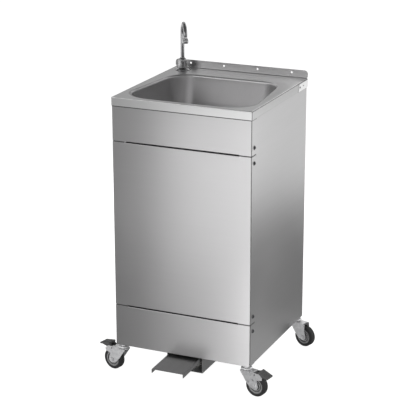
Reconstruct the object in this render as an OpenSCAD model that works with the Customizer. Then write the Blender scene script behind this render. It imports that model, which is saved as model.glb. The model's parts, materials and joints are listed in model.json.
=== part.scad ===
// Portable handwash sink on swivel casters: a stainless steel cabinet with a
// deep pressed bowl, a swan-neck tap at the rear left corner and a foot pump
// worked by a pedal under the front. Two tanks stand in the open-backed cabinet.
// Millimetres. X is the width, Y runs from front to back, Z is up from the floor.

/* [Worktop] */
// Width of the worktop, side to side
top_w = 500; // [480:2:540]
// Depth of the worktop, front to back
top_d = 508; // [490:2:540]
// Height of the worktop above the floor
top_h = 978; // [900:2:1050]
// Depth of the folded lip round the front and sides
lip = 30; // [20:1:45]
// Height of the upstand along the rear edge
upstand = 27; // [22:1:60]
// Spacing of the four fixing holes in the upstand
upstand_pitch = 127; // [110:1:140]
// Diameter of the fixing holes in the upstand
upstand_hole = 7; // [4:0.5:9]
// Thickness of the folded sheet
sheet = 1.2; // [1:0.1:1.5]

/* [Bowl] */
// Width of the bowl at its rolled rim, halfway from front to back
bowl_w = 436; // [400:2:440]
// How much the bowl narrows from front to back, as a share of its width
bowl_taper = 0.18; // [0:0.01:0.2]
// Depth of the bowl at its rolled rim, front to back
bowl_d = 392; // [340:2:400]
// Corner radius of the bowl at its rim
bowl_r = 104; // [80:1:130]
// How deep the bowl is at its walls
bowl_deep = 150; // [110:2:180]
// Radius of the rolled rim
rim_r = 8; // [5:0.5:10]
// Distance of the bowl's front rim from the front of the worktop
bowl_y = 18; // [14:1:30]

/* [Tap] */
// Distance of the tap from the cabinet's centre line
tap_x = 202.5; // [190:0.5:210]
// Distance of the tap from the front of the worktop
tap_y = 462; // [455:1:470]
// Radius of the swan neck's bend
neck_r = 42; // [30:1:60]
// Height of the bend's centre above the worktop
neck_h = 128; // [100:1:180]
// Direction in which the spout points, from +X
spout_dir = -58.5; // [-90:0.5:-20]
// Outer diameter of the spout tube
spout_d = 14.5; // [12:0.5:16]

/* [Cabinet] */
// Height of the cabinet's lower edge above the floor
base_z = 102; // [96:1:130]
// Width of the front posts folded from the side panels
post_w = 43; // [30:1:60]
// How far the front panels wrap round each side
wrap = 40; // [35:1:60]
// Height of the upper panel gap's centre below the worktop
gap_1 = 149.5; // [120:0.5:180]
// Height of the lower panel gap's centre below the worktop
gap_2 = 728; // [650:1:760]
// Height of the gaps between the front panels
gap = 4; // [2:0.5:8]
// Distance of the panel screws from the gap's centre
screw_off = 26; // [18:1:40]

/* [Pedal and pump] */
// Width of the foot pedal
pedal_w = 116; // [90:1:118]
// How far the pedal stands out in front of the worktop
pedal_out = 117; // [60:1:150]
// Width of the pedal housing
housing_w = 132; // [126:1:160]
// Height of the housing's floor above the ground
housing_z = 38; // [30:1:42]
// Diameter of the pump barrel
pump_d = 66; // [56:1:70]

/* [Tanks] */
// Width of each tank
tank_w = 190; // [150:5:195]
// Depth of each tank
tank_d = 330; // [250:5:340]
// Height of each tank's shoulder
tank_h = 420; // [300:10:430]

/* [Casters] */
// Wheel diameter
wheel_d = 75; // [75:1:75]
// Wheel width
wheel_w = 24; // [20:1:24]
// Distance from the swivel axis to the wheel's axle
trail = 41; // [40:0.5:42]
// Swivel directions of the four casters: front left, front right, rear left, rear right
caster_yaw = [166.8, -9.6, 193, -16.3];

/* [Hidden] */
$fn = 48;

// centre of the whole object's bounding box, which is moved to the origin
ox = 0.49;
oy = 196.56;

steel = [0.74, 0.75, 0.76];
zinc = [0.7, 0.71, 0.73];
dark = [0.2, 0.2, 0.21];

// body panels
pw = top_w - 3;            // outer width over the front panels' returns
fy = 1.5;                  // outer face of the front panels
sx = pw / 2 - sheet - 0.1; // outer face of a side panel
back_y = top_d - 1.5;      // rear face of the side panels' flanges
panel_top = top_h - sheet - 0.4;
g1 = top_h - gap_1;
g2 = top_h - gap_2;
base_t = 1.5;
base_in = base_z + 1.4;    // underside of the base plate
screw_y = 23;

// bowl
bx = 0;
by = bowl_y + bowl_d / 2;
floor_z = top_h - bowl_deep;
drain_r = 26;

// pedal
piv_y = 205;
piv_z = 84;
pedal_tilt = 1;
pump_y = 95;
house_y0 = 24;
house_y1 = 262;
hf = housing_z + 2;        // top of the housing's floor
spring_y = 150;
hose_x = 20;
hose_y = 245;

// tanks
tank_x = 35 + tank_w / 2;
tank_y = 484 - tank_d / 2;
tank_z = base_in + base_t + 0.3;
tank_top = tank_z + tank_h;
neck_x = 120;
fresh_neck_y = hose_y;
waste_neck_y = by;

// casters
stem_x = top_w / 2 - 20;
stem_y = [18, top_d - 18];
stems = [[-stem_x, stem_y[0]], [stem_x, stem_y[0]], [-stem_x, stem_y[1]], [stem_x, stem_y[1]]];
axle_z = wheel_d / 2;
crown_top = 86.8;
crown_t = 2.5;
leg_in = wheel_w / 2 + 1.6;
leg_t = 2.2;
brake_pin = [trail - 1, 79.6];
brake_rest = [0, 14];

module frame() translate([-ox, -oy, 0]) children();

// rounded rectangle made of squares and circles, centred
module rr(w, d, r) {
  square([w - 2 * r, d], center = true);
  square([w, d - 2 * r], center = true);
  for (x = [-1, 1], y = [-1, 1]) translate([x * (w / 2 - r), y * (d / 2 - r)]) circle(r);
}

function unit(v) = v / norm(v);
function cr(a, b, c, d, t) = 0.5 * (2 * b + (c - a) * t + (2 * a - 5 * b + 4 * c - d) * t * t + (3 * b - a - 3 * c + d) * t * t * t);
// smooth route through the points p with k steps between neighbours
function route(p, k) = concat(
  [for (i = [0 : len(p) - 2], j = [0 : k - 1])
    cr(i == 0 ? 2 * p[0] - p[1] : p[i - 1], p[i], p[i + 1], i + 2 > len(p) - 1 ? 2 * p[i + 1] - p[i] : p[i + 2], j / k)],
  [p[len(p) - 1]]);
function tangent(q, i) = unit(i == 0 ? q[1] - q[0] : i == len(q) - 1 ? q[i] - q[i - 1] : q[i + 1] - q[i - 1]);
function ring(c, t, ref, r, n) = let (u = unit(cross(t, ref)), v = cross(u, t)) [for (i = [0 : n - 1]) c + r * cos(360 * i / n) * u + r * sin(360 * i / n) * v];
// hollow tube swept along q
module tube(q, ref, ro, ri, n = 12) {
  m = len(q);
  pts = concat([for (i = [0 : m - 1]) each ring(q[i], tangent(q, i), ref, ro, n)],
               [for (i = [0 : m - 1]) each ring(q[i], tangent(q, i), ref, ri, n)]);
  o = m * n;
  faces = concat(
    [for (k = [0 : m - 2], i = [0 : n - 1]) let (j = (i + 1) % n) each [[k * n + i, k * n + j, (k + 1) * n + j], [k * n + i, (k + 1) * n + j, (k + 1) * n + i]]],
    [for (k = [0 : m - 2], i = [0 : n - 1]) let (j = (i + 1) % n) each [[o + k * n + i, o + (k + 1) * n + j, o + k * n + j], [o + k * n + i, o + (k + 1) * n + i, o + (k + 1) * n + j]]],
    [for (i = [0 : n - 1]) let (j = (i + 1) % n) each [[i, o + j, j], [i, o + i, o + j]]],
    [for (i = [0 : n - 1]) let (j = (i + 1) % n, a = (m - 1) * n) each [[a + i, a + j, o + a + j], [a + i, o + a + j, o + a + i]]]);
  polyhedron(pts, faces, convexity = 8);
}

// ---------------------------------------------------------------- worktop

module worktop() color(steel) frame() {
  difference() {
    translate([0, top_d / 2, top_h - sheet]) linear_extrude(sheet) rr(top_w, top_d, 3);
    translate([0, 0, top_h - sheet - 1]) linear_extrude(sheet + 2) polygon([for (p = bowl_ring(bowl_w / 2 + 0.15, bowl_d / 2 + 0.15, bowl_r + 0.15, 0)) [p[0], p[1]]]);
    translate([-tap_x, tap_y, top_h - sheet - 1]) cylinder(r = 8.5, h = sheet + 2);
  }
  // folded lip on the front and both sides
  translate([0, 0, top_h - lip]) linear_extrude(lip - sheet / 2) difference() {
    translate([0, top_d / 2]) rr(top_w, top_d, 3);
    translate([0, top_d / 2]) rr(top_w - 2 * sheet, top_d - 2 * sheet, 1.8);
    translate([-top_w / 2 + sheet, top_d - 6]) square([top_w - 2 * sheet, 10]);
  }
  // upstand with four fixing holes
  difference() {
    union() {
      translate([-top_w / 2, top_d - sheet, top_h - sheet]) cube([top_w, sheet, upstand + sheet - 12]);
      translate([-top_w / 2 + 12, top_d - sheet, top_h]) cube([top_w - 24, sheet, upstand]);
      for (s = [-1, 1]) translate([s * (top_w / 2 - 12), top_d, top_h + upstand - 12]) rotate([90, 0, 0]) cylinder(r = 12, h = sheet);
    }
    for (i = [-1.5 : 1.5]) translate([i * upstand_pitch, top_d + 1, top_h + 16]) rotate([90, 0, 0]) cylinder(d = upstand_hole, h = sheet + 2);
  }
}

// one ring of the bowl: half sizes a and b with corner radius r, at height z. The
// back corners are tighter and the ring narrows to the back; f = 0 makes it square.
bn = 12;
function bowl_ring(a, b, r, z, f = 1) = [for (q = [0 : 3], i = [0 : bn]) let (t = 90 * q + 90 * i / bn, rq = q < 2 && f > 0 ? max(r - 24, 20) : r, cxx = (q == 0 || q == 3 ? 1 : -1) * (a - rq), cyy = (q < 2 ? 1 : -1) * (b - rq), y = cyy + rq * sin(t)) [bx + (cxx + rq * cos(t)) * (1 - f * bowl_taper * y / bowl_d), by + y, z]];
// depth profile: [inset from the rim, height below the worktop, corner radius loss]
draft = 14;
fil = 46;
bowl_prof = concat(
  [for (i = [0 : 5]) let (t = 90 * i / 5) [rim_r * sin(t), -rim_r * (1 - cos(t))]],
  [for (i = [1 : 3]) [rim_r + draft * i / 3, -rim_r - (bowl_deep - rim_r - fil) * i / 3]],
  [for (i = [1 : 7]) let (t = 90 * i / 7) [rim_r + draft + fil * (1 - cos(t)), -bowl_deep + fil - fil * sin(t)]]);
bt = 1.0;
function at_z(z) = top_h + z;
function bowl_in() = concat([for (p = bowl_prof) bowl_ring(bowl_w / 2 - p[0], bowl_d / 2 - p[0], max(bowl_r - p[0], 30), at_z(p[1]))],
  [bowl_ring(90, 80, 60, at_z(-bowl_deep - 2.5))], [bowl_ring(drain_r + 12, drain_r + 12, drain_r + 11.99, at_z(-bowl_deep - 5), 0)], [bowl_ring(drain_r, drain_r, drain_r - 0.01, at_z(-bowl_deep - 5), 0)]);
function bowl_out() = concat([bowl_ring(bowl_w / 2, bowl_d / 2, bowl_r, at_z(-bt))], [for (i = [1 : len(bowl_prof) - 1]) let (p = bowl_prof[i], f = min(1, i / 5)) bowl_ring(bowl_w / 2 - p[0] + bt * f, bowl_d / 2 - p[0] + bt * f, max(bowl_r - p[0] + bt, 30), at_z(p[1] - bt))],
  [bowl_ring(90, 80, 60, at_z(-bowl_deep - 2.5 - bt))], [bowl_ring(drain_r + 12, drain_r + 12, drain_r + 11.99, at_z(-bowl_deep - 5 - bt), 0)], [bowl_ring(drain_r, drain_r, drain_r - 0.01, at_z(-bowl_deep - 5 - bt), 0)]);

module bowl() color(steel) frame() {
  a = bowl_in();
  b = bowl_out();
  n = 4 * (bn + 1);
  k = len(a);
  rings = concat(a, [for (i = [0 : k - 1]) b[k - 1 - i]]);
  m = len(rings);
  pts = [for (r = rings) each r];
  faces = [for (i = [0 : m - 1], j = [0 : n - 1]) let (i2 = (i + 1) % m, j2 = (j + 1) % n) each [[i * n + j, i2 * n + j2, i * n + j2], [i * n + j, i2 * n + j, i2 * n + j2]]];
  polyhedron(pts, faces, convexity = 6);
}

dz = floor_z - 5; // upper face of the bowl's seat at the drain

module drain_flange() color(steel) frame() translate([bx, by, dz]) difference() {
  union() {
    translate([0, 0, 0.2]) cylinder(r = 36, h = 2);
    translate([0, 0, -42]) cylinder(r = 25.5, h = 43);
  }
  translate([0, 0, -43]) cylinder(r = 22, h = 50);
  translate([0, 0, -1]) cylinder(r1 = 24, r2 = 30, h = 4);
}
module strainer_plate() color(steel) frame() translate([bx, by, dz - 6]) {
  difference() {
    cylinder(r = 21.8, h = 1.5);
    for (i = [0 : 5]) rotate(60 * i) translate([8, 0, -1]) cylinder(r = 2.6, h = 4);
    for (i = [0 : 11]) rotate(30 * i + 15) translate([16, 0, -1]) cylinder(r = 2.6, h = 4);
  }
  translate([0, 0, 1]) cylinder(r = 3, h = 6);
}
module drain_gasket() color(dark) frame() translate([bx, by, dz - 1.2 - 3]) difference() {
  cylinder(r = 36, h = 3);
  translate([0, 0, -1]) cylinder(r = 25.8, h = 5);
}
module drain_nut() color([0.9, 0.9, 0.9]) frame() translate([bx, by, dz - 4.4 - 10]) difference() {
  union() {
    cylinder(r = 34, h = 10);
    for (i = [0 : 7]) rotate(45 * i) translate([33, -4, 0]) cube([5, 8, 10]);
  }
  translate([0, 0, -1]) cylinder(r = 25.7, h = 12);
}
module tailpiece() color([0.9, 0.9, 0.9]) frame() translate([bx, by, dz - 42]) {
  difference() {
    union() {
      translate([0, 0, -6]) cylinder(r = 31, h = 24);
      translate([0, 0, -20]) cylinder(r = 20, h = 16);
      translate([0, 0, -44]) cylinder(r = 12.8, h = 30);
    }
    translate([0, 0, -0.2]) cylinder(r = 25.8, h = 30);
    translate([0, 0, -50]) cylinder(r = 10, h = 60);
  }
}
waste_top = dz - 42 - 21;
waste_pts = [[0, waste_top], [0, waste_top - 17], [0, waste_top - 34], [7, waste_top - 58], [40, waste_top - 94], [84, waste_top - 125], [114, waste_top - 165], [neck_x, waste_top - 200], [neck_x, tank_top - 20]];
module waste_hose() color([0.82, 0.83, 0.84]) frame() tube(route([for (p = waste_pts) [p[0], by, p[1]]], 6), [0, 1, 0], 16.4, 13.4, 20);

// ---------------------------------------------------------------- tap

module tap_escutcheon() color(steel) frame() translate([-tap_x, tap_y, top_h + 0.2]) rotate_extrude($fn = 64) difference() {
  union() {
    square([27.5, 1.8]);
    intersection() { translate([0, -44]) circle(51, $fn = 160); translate([0, 0]) square([26.5, 7]); }
  }
  translate([-1, -1]) square([9, 12]);
}
module tap_body() color(steel) frame() translate([-tap_x, tap_y, top_h + 7.4]) difference() {
  union() {
    cylinder(r = 15.5, h = 3);
    cylinder(r = 14.5, h = 26);
    translate([0, 0, 26]) rotate_extrude($fn = 64) intersection() { translate([4.5, 0]) circle(10); square([20, 10]); }
    cylinder(r = 5, h = 36);
    translate([0, 0, 26]) cylinder(r = 9.5, h = 10);
  }
  translate([0, 0, 12]) cylinder(r = spout_d / 2 + 0.05, h = 30);
  translate([0, 0, -1]) cylinder(r = 4, h = 20);
}
module tap_spout() color(steel) frame() translate([-tap_x, tap_y, top_h]) rotate(spout_dir) {
  difference() {
    translate([0, 0, 22]) cylinder(d = spout_d, h = neck_h - 22);
    translate([0, 0, 21]) cylinder(r = spout_d / 2 - 1.5, h = neck_h);
  }
  translate([neck_r, 0, neck_h]) rotate([90, 0, 0]) rotate_extrude(angle = 180, $fn = 96) translate([neck_r, 0]) difference() { circle(d = spout_d, $fn = 40); circle(r = spout_d / 2 - 1.5, $fn = 40); }
}
module tap_aerator() color(steel) frame() translate([-tap_x, tap_y, top_h]) rotate(spout_dir) translate([2 * neck_r, 0, neck_h]) difference() {
  union() {
    translate([0, 0, -17]) cylinder(r = 11, h = 11);
    translate([0, 0, -6]) cylinder(r = 9.5, h = 5.8);
  }
  translate([0, 0, -18]) cylinder(r = 8.5, h = 5);
  translate([0, 0, -18]) cylinder(r = 5, h = 30);
}
module tap_shank() color([0.8, 0.68, 0.4]) frame() translate([-tap_x, tap_y, top_h]) difference() {
  union() {
    translate([0, 0, -48]) cylinder(r = 7.5, h = 55.2);
    translate([0, 0, -54]) cylinder(r = 9, h = 8, $fn = 6);
    translate([0, 0, -76]) cylinder(r = 3.9, h = 24);
  }
  translate([0, 0, -80]) cylinder(r = 2.6, h = 100);
}
module tap_nut() color([0.8, 0.68, 0.4]) frame() translate([-tap_x, tap_y, top_h - sheet]) difference() {
  union() {
    translate([0, 0, -2.2]) cylinder(r = 17, h = 2);
    translate([0, 0, -12.2]) cylinder(r = 14, h = 10, $fn = 6);
  }
  translate([0, 0, -14]) cylinder(r = 7.6, h = 20);
}

// ---------------------------------------------------------------- hoses

rise = [[0, 134, 53], [0, 200, 53], [0, 230, 60], [0, hose_y, 84], [0, hose_y, 130], [0, hose_y, 250], [0, hose_y, 400]];
supply_pts = concat([for (p = rise) p + [hose_x, 0, 0]], [[20, hose_y, 560], [8, 262, 650], [-50, 330, 720], [-140, 420, 775], [-194, 456, 835], [-tap_x, tap_y, top_h - 98], [-tap_x, tap_y, top_h - 76], [-tap_x, tap_y, top_h - 56]]);
suction_pts = concat([for (p = rise) p - [hose_x, 0, 0]], [[-20, hose_y, tank_top + 50], [-35, hose_y, tank_top + 95], [-70, hose_y, tank_top + 115], [-105, hose_y, tank_top + 95], [-neck_x, hose_y, tank_top + 50], [-neck_x, hose_y, tank_top - 100], [-neck_x, hose_y, tank_z + 25]]);
module supply_hose() color([0.75, 0.8, 0.85]) frame() tube(route(supply_pts, 4), [1, 0.9, 0], 6, 4.4, 10);
module suction_hose() color([0.75, 0.8, 0.85]) frame() tube(route(suction_pts, 4), [1, 0.9, 0], 6, 4.4, 10);

module clip(r, w) difference() {
  union() {
    cylinder(r = r + 1.2, h = w);
    translate([r - 0.5, -3.5, 0.5]) cube([6, 7, w - 1]);
  }
  translate([0, 0, -1]) cylinder(r = r + 0.5, h = w + 2);
}
module hose_clips() color(zinc) frame() {
  for (s = [-1, 1]) translate([s * hose_x, 138, 53]) rotate([-90, 0, 0]) rotate(s > 0 ? 0 : 180) clip(6, 8);
  translate([-tap_x, tap_y, top_h - 70]) rotate(200) clip(6, 8);
  translate([bx, by, waste_top - 18]) rotate(150) clip(16.4, 9);
}

// ---------------------------------------------------------------- cabinet

module screw_holes(d) for (g = [g1, g2], o = [-screw_off, screw_off]) translate([0, screw_y, g + o]) rotate([0, 90, 0]) cylinder(d = d, h = top_w + 20, center = true);

// side panel with a wide front post and a narrow rear flange, on the side s
module side_panel(s) frame() difference() {
  translate([0, 0, base_z]) linear_extrude(panel_top - base_z) {
    y0 = fy + sheet + 0.1;
    polygon([[s * sx, y0 + 1.1], [s * (sx - 1.1), y0], [s * (sx - post_w), y0], [s * (sx - post_w), y0 + sheet], [s * (sx - sheet), y0 + sheet],
      [s * (sx - sheet), back_y - sheet], [s * (sx - 25), back_y - sheet], [s * (sx - 25), back_y], [s * sx, back_y]]);
  }
  screw_holes(5.4);
  for (z = [base_z + 24, base_z + 52, panel_top - 24, panel_top - 52]) translate([s * (sx - 14), back_y + 2, z]) rotate([90, 0, 0]) cylinder(d = 4.4, h = 6);
}
module left_side_panel() color(steel) side_panel(-1);
module right_side_panel() color(steel) side_panel(1);

module base_plate() color(steel) frame() difference() {
  union() {
    translate([-sx + sheet + 0.3, fy + 2 * sheet + 0.5, base_in]) cube([2 * (sx - sheet - 0.3), back_y - sheet - 0.4 - fy - 2 * sheet - 0.5, base_t]);
    for (s = [-1, 1]) translate([s > 0 ? sx - sheet - 0.3 - base_t : -sx + sheet + 0.3, fy + 2 * sheet + 0.5, base_in]) cube([base_t, back_y - sheet - 0.4 - fy - 2 * sheet - 0.5, 26]);
    translate([-sx + sheet + 0.3, fy + 2 * sheet + 0.5, base_in]) cube([2 * (sx - sheet - 0.3), base_t, 26]);
    translate([-sx + sheet + 0.3, back_y - sheet - 0.4 - base_t, base_in]) cube([2 * (sx - sheet - 0.3), base_t, 14]);
    // thick pads under the caster nuts
    for (p = stems) translate([p[0] - 13, p[1] - 11.5, base_in + base_t - 0.1]) cube([26, 23, 4]);
  }
  for (p = stems) translate([p[0], p[1], base_in - 1]) cylinder(r = 5.25, h = 10);
  for (s = [-1, 1]) translate([s * hose_x, hose_y, base_in - 1]) cylinder(r = 8, h = 5);
  for (s = [-1, 1], y = [40, 90, 140]) translate([s * (housing_w / 2 - 9), y, base_in - 1]) cylinder(r = 2.7, h = 5);
}

module rail(z, h, up) difference() {
  union() {
    translate([-sx + 2, back_y + 0.1, z]) cube([2 * sx - 4, sheet, h]);
    translate([-sx + 30, back_y + 0.1 - 16, up ? z : z + h - sheet]) cube([2 * sx - 60, 16.5, sheet]);
  }
  for (s = [-1, 1], o = [24, 52]) translate([s * (sx - 14), back_y + 4, up ? panel_top - o : base_z + o]) rotate([90, 0, 0]) cylinder(d = 4.4, h = 8);
}
module rear_top_rail() color(steel) frame() rail(panel_top - 70, 69.5, true);
module rear_bottom_rail() color(steel) frame() rail(base_z + 2, 68, false);

// front panel from z0 to z1 with a return round each side; lo and hi are the depths of its folded edges
module front_panel(z0, z1, lo, hi) frame() difference() {
  union() {
    translate([0, 0, z0]) linear_extrude(z1 - z0) difference() {
      translate([0, fy + 40]) rr(pw, 80, 2.6);
      translate([0, fy + 40]) rr(pw - 2 * sheet, 80 - 2 * sheet, 1.4);
      translate([-pw, fy + wrap]) square([2 * pw, 80]);
    }
    for (e = [[lo, z0], [hi, z1 - sheet]]) if (e[0] > 0) translate([-sx + post_w + 1, fy + sheet / 2, e[1]]) cube([2 * (sx - post_w - 1), e[0], sheet]);
  }
  screw_holes(5.4);
}
module apron_panel() color(steel) front_panel(g1 + gap / 2, panel_top, 18, 0);
module main_panel() color(steel) front_panel(g2 + gap / 2, g1 - gap / 2, 18, 18);
module kick_panel() color(steel) front_panel(base_z, g2 - gap / 2, 11, 18);

module dome_screw(len) {
  rotate_extrude() intersection() { translate([0, -2.75]) circle(r = 7.75, $fn = 96); square([6.3, 5]); }
  translate([0, 0, -len]) cylinder(r = 2.5, h = len + 1);
}
module panel_screws() color(dark) frame() for (g = [g1, g2], o = [-screw_off, screw_off], s = [-1, 1]) translate([s * (pw / 2 + 0.1), screw_y, g + o]) rotate([0, s * 90, 0]) {
  dome_screw(9);
  translate([0, 0, -7]) difference() { cylinder(r = 4.6, h = 3.8, $fn = 6); translate([0, 0, -1]) cylinder(r = 2.4, h = 6); }
}
module rail_screws() color(zinc) frame() for (s = [-1, 1], z = [base_z + 24, base_z + 52, panel_top - 24, panel_top - 52]) translate([s * (sx - 14), back_y + 0.2 + sheet, z]) rotate([-90, 0, 0]) {
  rotate_extrude() intersection() { translate([0, -3.6]) circle(r = 6, $fn = 96); square([5, 3]); }
  translate([0, 0, -6]) cylinder(r = 2, h = 6.5);
}

// ---------------------------------------------------------------- pedal and pump

module pedal_housing() color(steel) frame() difference() {
  union() {
    translate([-housing_w / 2, house_y0, housing_z]) cube([housing_w, house_y1 - house_y0, 2]);
    for (s = [-1, 1]) {
      translate([s > 0 ? housing_w / 2 - 2 : -housing_w / 2, house_y0, housing_z]) cube([2, house_y1 - house_y0, base_in - 0.2 - housing_z]);
      translate([s > 0 ? housing_w / 2 - 17 : -housing_w / 2, house_y0 + 12, base_in - 2.2]) cube([17, house_y1 - house_y0 - 12, 2]);
    }
  }
  for (s = [-1, 1], y = [40, 90, 140]) translate([s * (housing_w / 2 - 9), y, base_in - 4]) cylinder(r = 2.7, h = 5);
  translate([-housing_w, piv_y, piv_z]) rotate([0, 90, 0]) cylinder(r = 5.2, h = 2 * housing_w);
}
module housing_screws() color(zinc) frame() for (s = [-1, 1], y = [40, 90, 140]) translate([s * (housing_w / 2 - 9), y, 0]) {
  translate([0, 0, base_in - 4.4]) cylinder(r = 4, h = 2, $fn = 6);
  translate([0, 0, base_in - 3]) cylinder(r = 2.5, h = 10);
  translate([0, 0, base_in + base_t + 0.1]) difference() { cylinder(r = 4.5, h = 3.6, $fn = 6); translate([0, 0, -1]) cylinder(r = 2.4, h = 6); }
}

// the pedal is an inverted channel hinged at its rear
module foot_pedal() color(steel) frame() translate([0, piv_y, piv_z]) rotate([pedal_tilt, 0, 0]) difference() {
  union() {
    translate([-pedal_w / 2, -piv_y - pedal_out, 10.6]) cube([pedal_w, piv_y + pedal_out + 10, 2]);
    for (s = [-1, 1]) {
      translate([s > 0 ? pedal_w / 2 - 2 : -pedal_w / 2, -piv_y - pedal_out, -2.8]) cube([2, piv_y + pedal_out - 20, 14]);
      translate([s > 0 ? pedal_w / 2 - 2 : -pedal_w / 2, -40, -8]) cube([2, 40, 19]);
      translate([s > 0 ? pedal_w / 2 - 2 : -pedal_w / 2, 0, 0]) rotate([0, 90, 0]) cylinder(r = 8, h = 2);
      translate([s > 0 ? pedal_w / 2 - 2 : -pedal_w / 2, 0, 0]) cube([2, 8, 11]);
    }
  }
  translate([-pedal_w, 0, 0]) rotate([0, 90, 0]) cylinder(r = 5.06, h = 2 * pedal_w);
}
module pedal_pin() color(zinc) frame() translate([0, piv_y, piv_z]) rotate([0, 90, 0]) difference() {
  union() {
    translate([0, 0, -housing_w / 2 - 5]) cylinder(r = 5, h = housing_w + 10);
    for (s = [-1, 1]) translate([0, 0, s * (housing_w / 2 + 1.3) - 0.7]) cylinder(r = 8.5, h = 1.4);
  }
}
module pedal_bushes() color([0.92, 0.92, 0.9]) frame() for (s = [-1, 1]) translate([s * (pedal_w / 2 + housing_w / 2 - 2) / 2, piv_y, piv_z]) rotate([0, 90, 0]) difference() {
  cylinder(r = 7.5, h = (housing_w - pedal_w) / 2 - 2 - 0.8, center = true);
  cylinder(r = 5.1, h = 40, center = true);
}
// compression spring between the housing's floor and the pedal
sp_n = 6;
sp_len = piv_z + 10.4 / cos(pedal_tilt) - (piv_y - spring_y) * tan(pedal_tilt) - hf - 0.8;
module pedal_spring() color(zinc) frame() {
  q = [for (i = [0 : sp_n * 14]) let (a = i * 360 / 14, f = i / (sp_n * 14)) [12 * cos(a), spring_y + 12 * sin(a), hf + 1.6 + (sp_len - 3.2) * f]];
  m = len(q);
  n = 8;
  pts = [for (i = [0 : m - 1]) each ring(q[i], tangent(q, i), [0, 0, 1], 1.2, n)];
  faces = concat([for (k = [0 : m - 2], i = [0 : n - 1]) let (j = (i + 1) % n) each [[k * n + i, k * n + j, (k + 1) * n + j], [k * n + i, (k + 1) * n + j, (k + 1) * n + i]]],
    [[for (i = [0 : n - 1]) n - 1 - i]], [[for (i = [0 : n - 1]) (m - 1) * n + i]]);
  polyhedron(pts, faces, convexity = 10);
}

module pump_body() color([0.93, 0.93, 0.92]) frame() translate([0, pump_y, hf]) difference() {
  union() {
    cylinder(d = pump_d, h = 25);
    cylinder(d = pump_d + 8, h = 4);
    translate([0, 0, 21]) cylinder(d = pump_d + 8, h = 4.5);
    for (s = [-1, 1]) {
      translate([s * hose_x, pump_d / 2 - 16, 13]) rotate([-90, 0, 0]) cylinder(r = 7, h = 18);
      translate([s * hose_x, pump_d / 2 - 16, 13]) rotate([-90, 0, 0]) cylinder(r = 3.9, h = 34);
    }
  }
  translate([0, 0, 4]) cylinder(d = pump_d - 7, h = 30);
  for (s = [-1, 1]) translate([s * hose_x, pump_d / 2 - 20, 13]) rotate([-90, 0, 0]) cylinder(r = 2.6, h = 60);
}
module pump_cover() color([0.2, 0.35, 0.6]) frame() translate([0, pump_y, hf + 25.7]) {
  difference() {
    union() {
      cylinder(d = pump_d + 8, h = 3.5);
      cylinder(r = 13, h = 6);
    }
    translate([0, 0, -1]) cylinder(r = 8.06, h = 10);
  }
  for (i = [0 : 5]) rotate(60 * i + 30) translate([pump_d / 2 + 0.2, 0, 3.4]) cylinder(r = 2.4, h = 1.8);
}
// the plunger's domed cap stays just under the pedal
cap_r = 16;
cap_top = piv_z + 10.6 / cos(pedal_tilt) - (piv_y - pump_y) * tan(pedal_tilt) - 0.55;
module pump_plunger() color([0.93, 0.93, 0.92]) frame() translate([0, pump_y, 0]) {
  translate([0, 0, hf + 19.8]) cylinder(r = 8, h = cap_top - 3 - hf - 19.8);
  translate([0, 0, hf + 19.8]) cylinder(d = pump_d - 7.14, h = 5.6);
  translate([0, 0, cap_top - cap_r]) rotate_extrude($fn = 64) intersection() { circle(cap_r, $fn = 96); translate([0, cap_r - 4.5]) square([14, 4.5]); }
}

// ---------------------------------------------------------------- tanks

module tank(s, ny) frame() difference() {
  union() {
    translate([s * tank_x, tank_y, tank_z]) linear_extrude(tank_h) rr(tank_w, tank_d, 28);
    translate([s * neck_x, ny, tank_top - 1]) cylinder(r = 27, h = 21);
    // carrying handle
    for (y = [tank_y - 10, tank_y + 120]) translate([s * neck_x - 12, y, tank_top - 2]) cube([24, 18, 36]);
    translate([s * neck_x - 12, tank_y - 10, tank_top + 26]) cube([24, 148, 16]);
  }
  translate([s * tank_x, tank_y, tank_z + 3]) linear_extrude(tank_h - 6) rr(tank_w - 6, tank_d - 6, 25);
  translate([s * neck_x, ny, tank_top - 10]) cylinder(r = 23, h = 40);
}
module fresh_tank() color([0.88, 0.92, 0.95]) tank(-1, fresh_neck_y);
module waste_tank() color([0.8, 0.8, 0.78]) tank(1, waste_neck_y);
module cap(s, ny, r) frame() translate([s * neck_x, ny, tank_top + 4]) difference() {
  union() {
    cylinder(r = 31, h = 20);
    for (i = [0 : 23]) rotate(15 * i) translate([30.6, -1.4, 1]) cube([1.6, 2.8, 16]);
  }
  translate([0, 0, -1]) cylinder(r = 27.3, h = 17.3);
  translate([0, 0, -1]) cylinder(r = r, h = 30);
}
module fresh_tank_cap() color([0.15, 0.35, 0.7]) cap(-1, fresh_neck_y, 7.6);
module waste_tank_cap() color(dark) cap(1, waste_neck_y, 17.4);

// ---------------------------------------------------------------- casters

// fixed kingpin, upper race and threaded stud of one caster
module caster_stems() color(zinc) frame() for (p = stems) translate([p[0], p[1], 0]) {
  rotate_extrude($fn = 64) polygon([[0, 80.6], [8.5, 80.6], [9.5, 82], [9.5, crown_top - crown_t - 0.35], [6, crown_top - crown_t - 0.35], [6, crown_top + 0.3], [17, crown_top + 0.3], [19, 89.5], [19, 93], [16.5, 96.5], [13, 97.5], [13, base_in - 0.1], [5, base_in - 0.1], [5, 122], [4.2, 123], [0, 123]]);
}
module caster_nuts() color(zinc) frame() for (p = stems) translate([p[0], p[1], base_in + base_t + 4]) difference() {
  union() {
    cylinder(r = 10, h = 1.6);
    translate([0, 0, 1.5]) cylinder(r = 9, h = 8, $fn = 6);
  }
  translate([0, 0, -1]) cylinder(r = 5.1, h = 12);
}

module on_caster(i) frame() translate([stems[i][0], stems[i][1], 0]) rotate(caster_yaw[i]) children();

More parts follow.
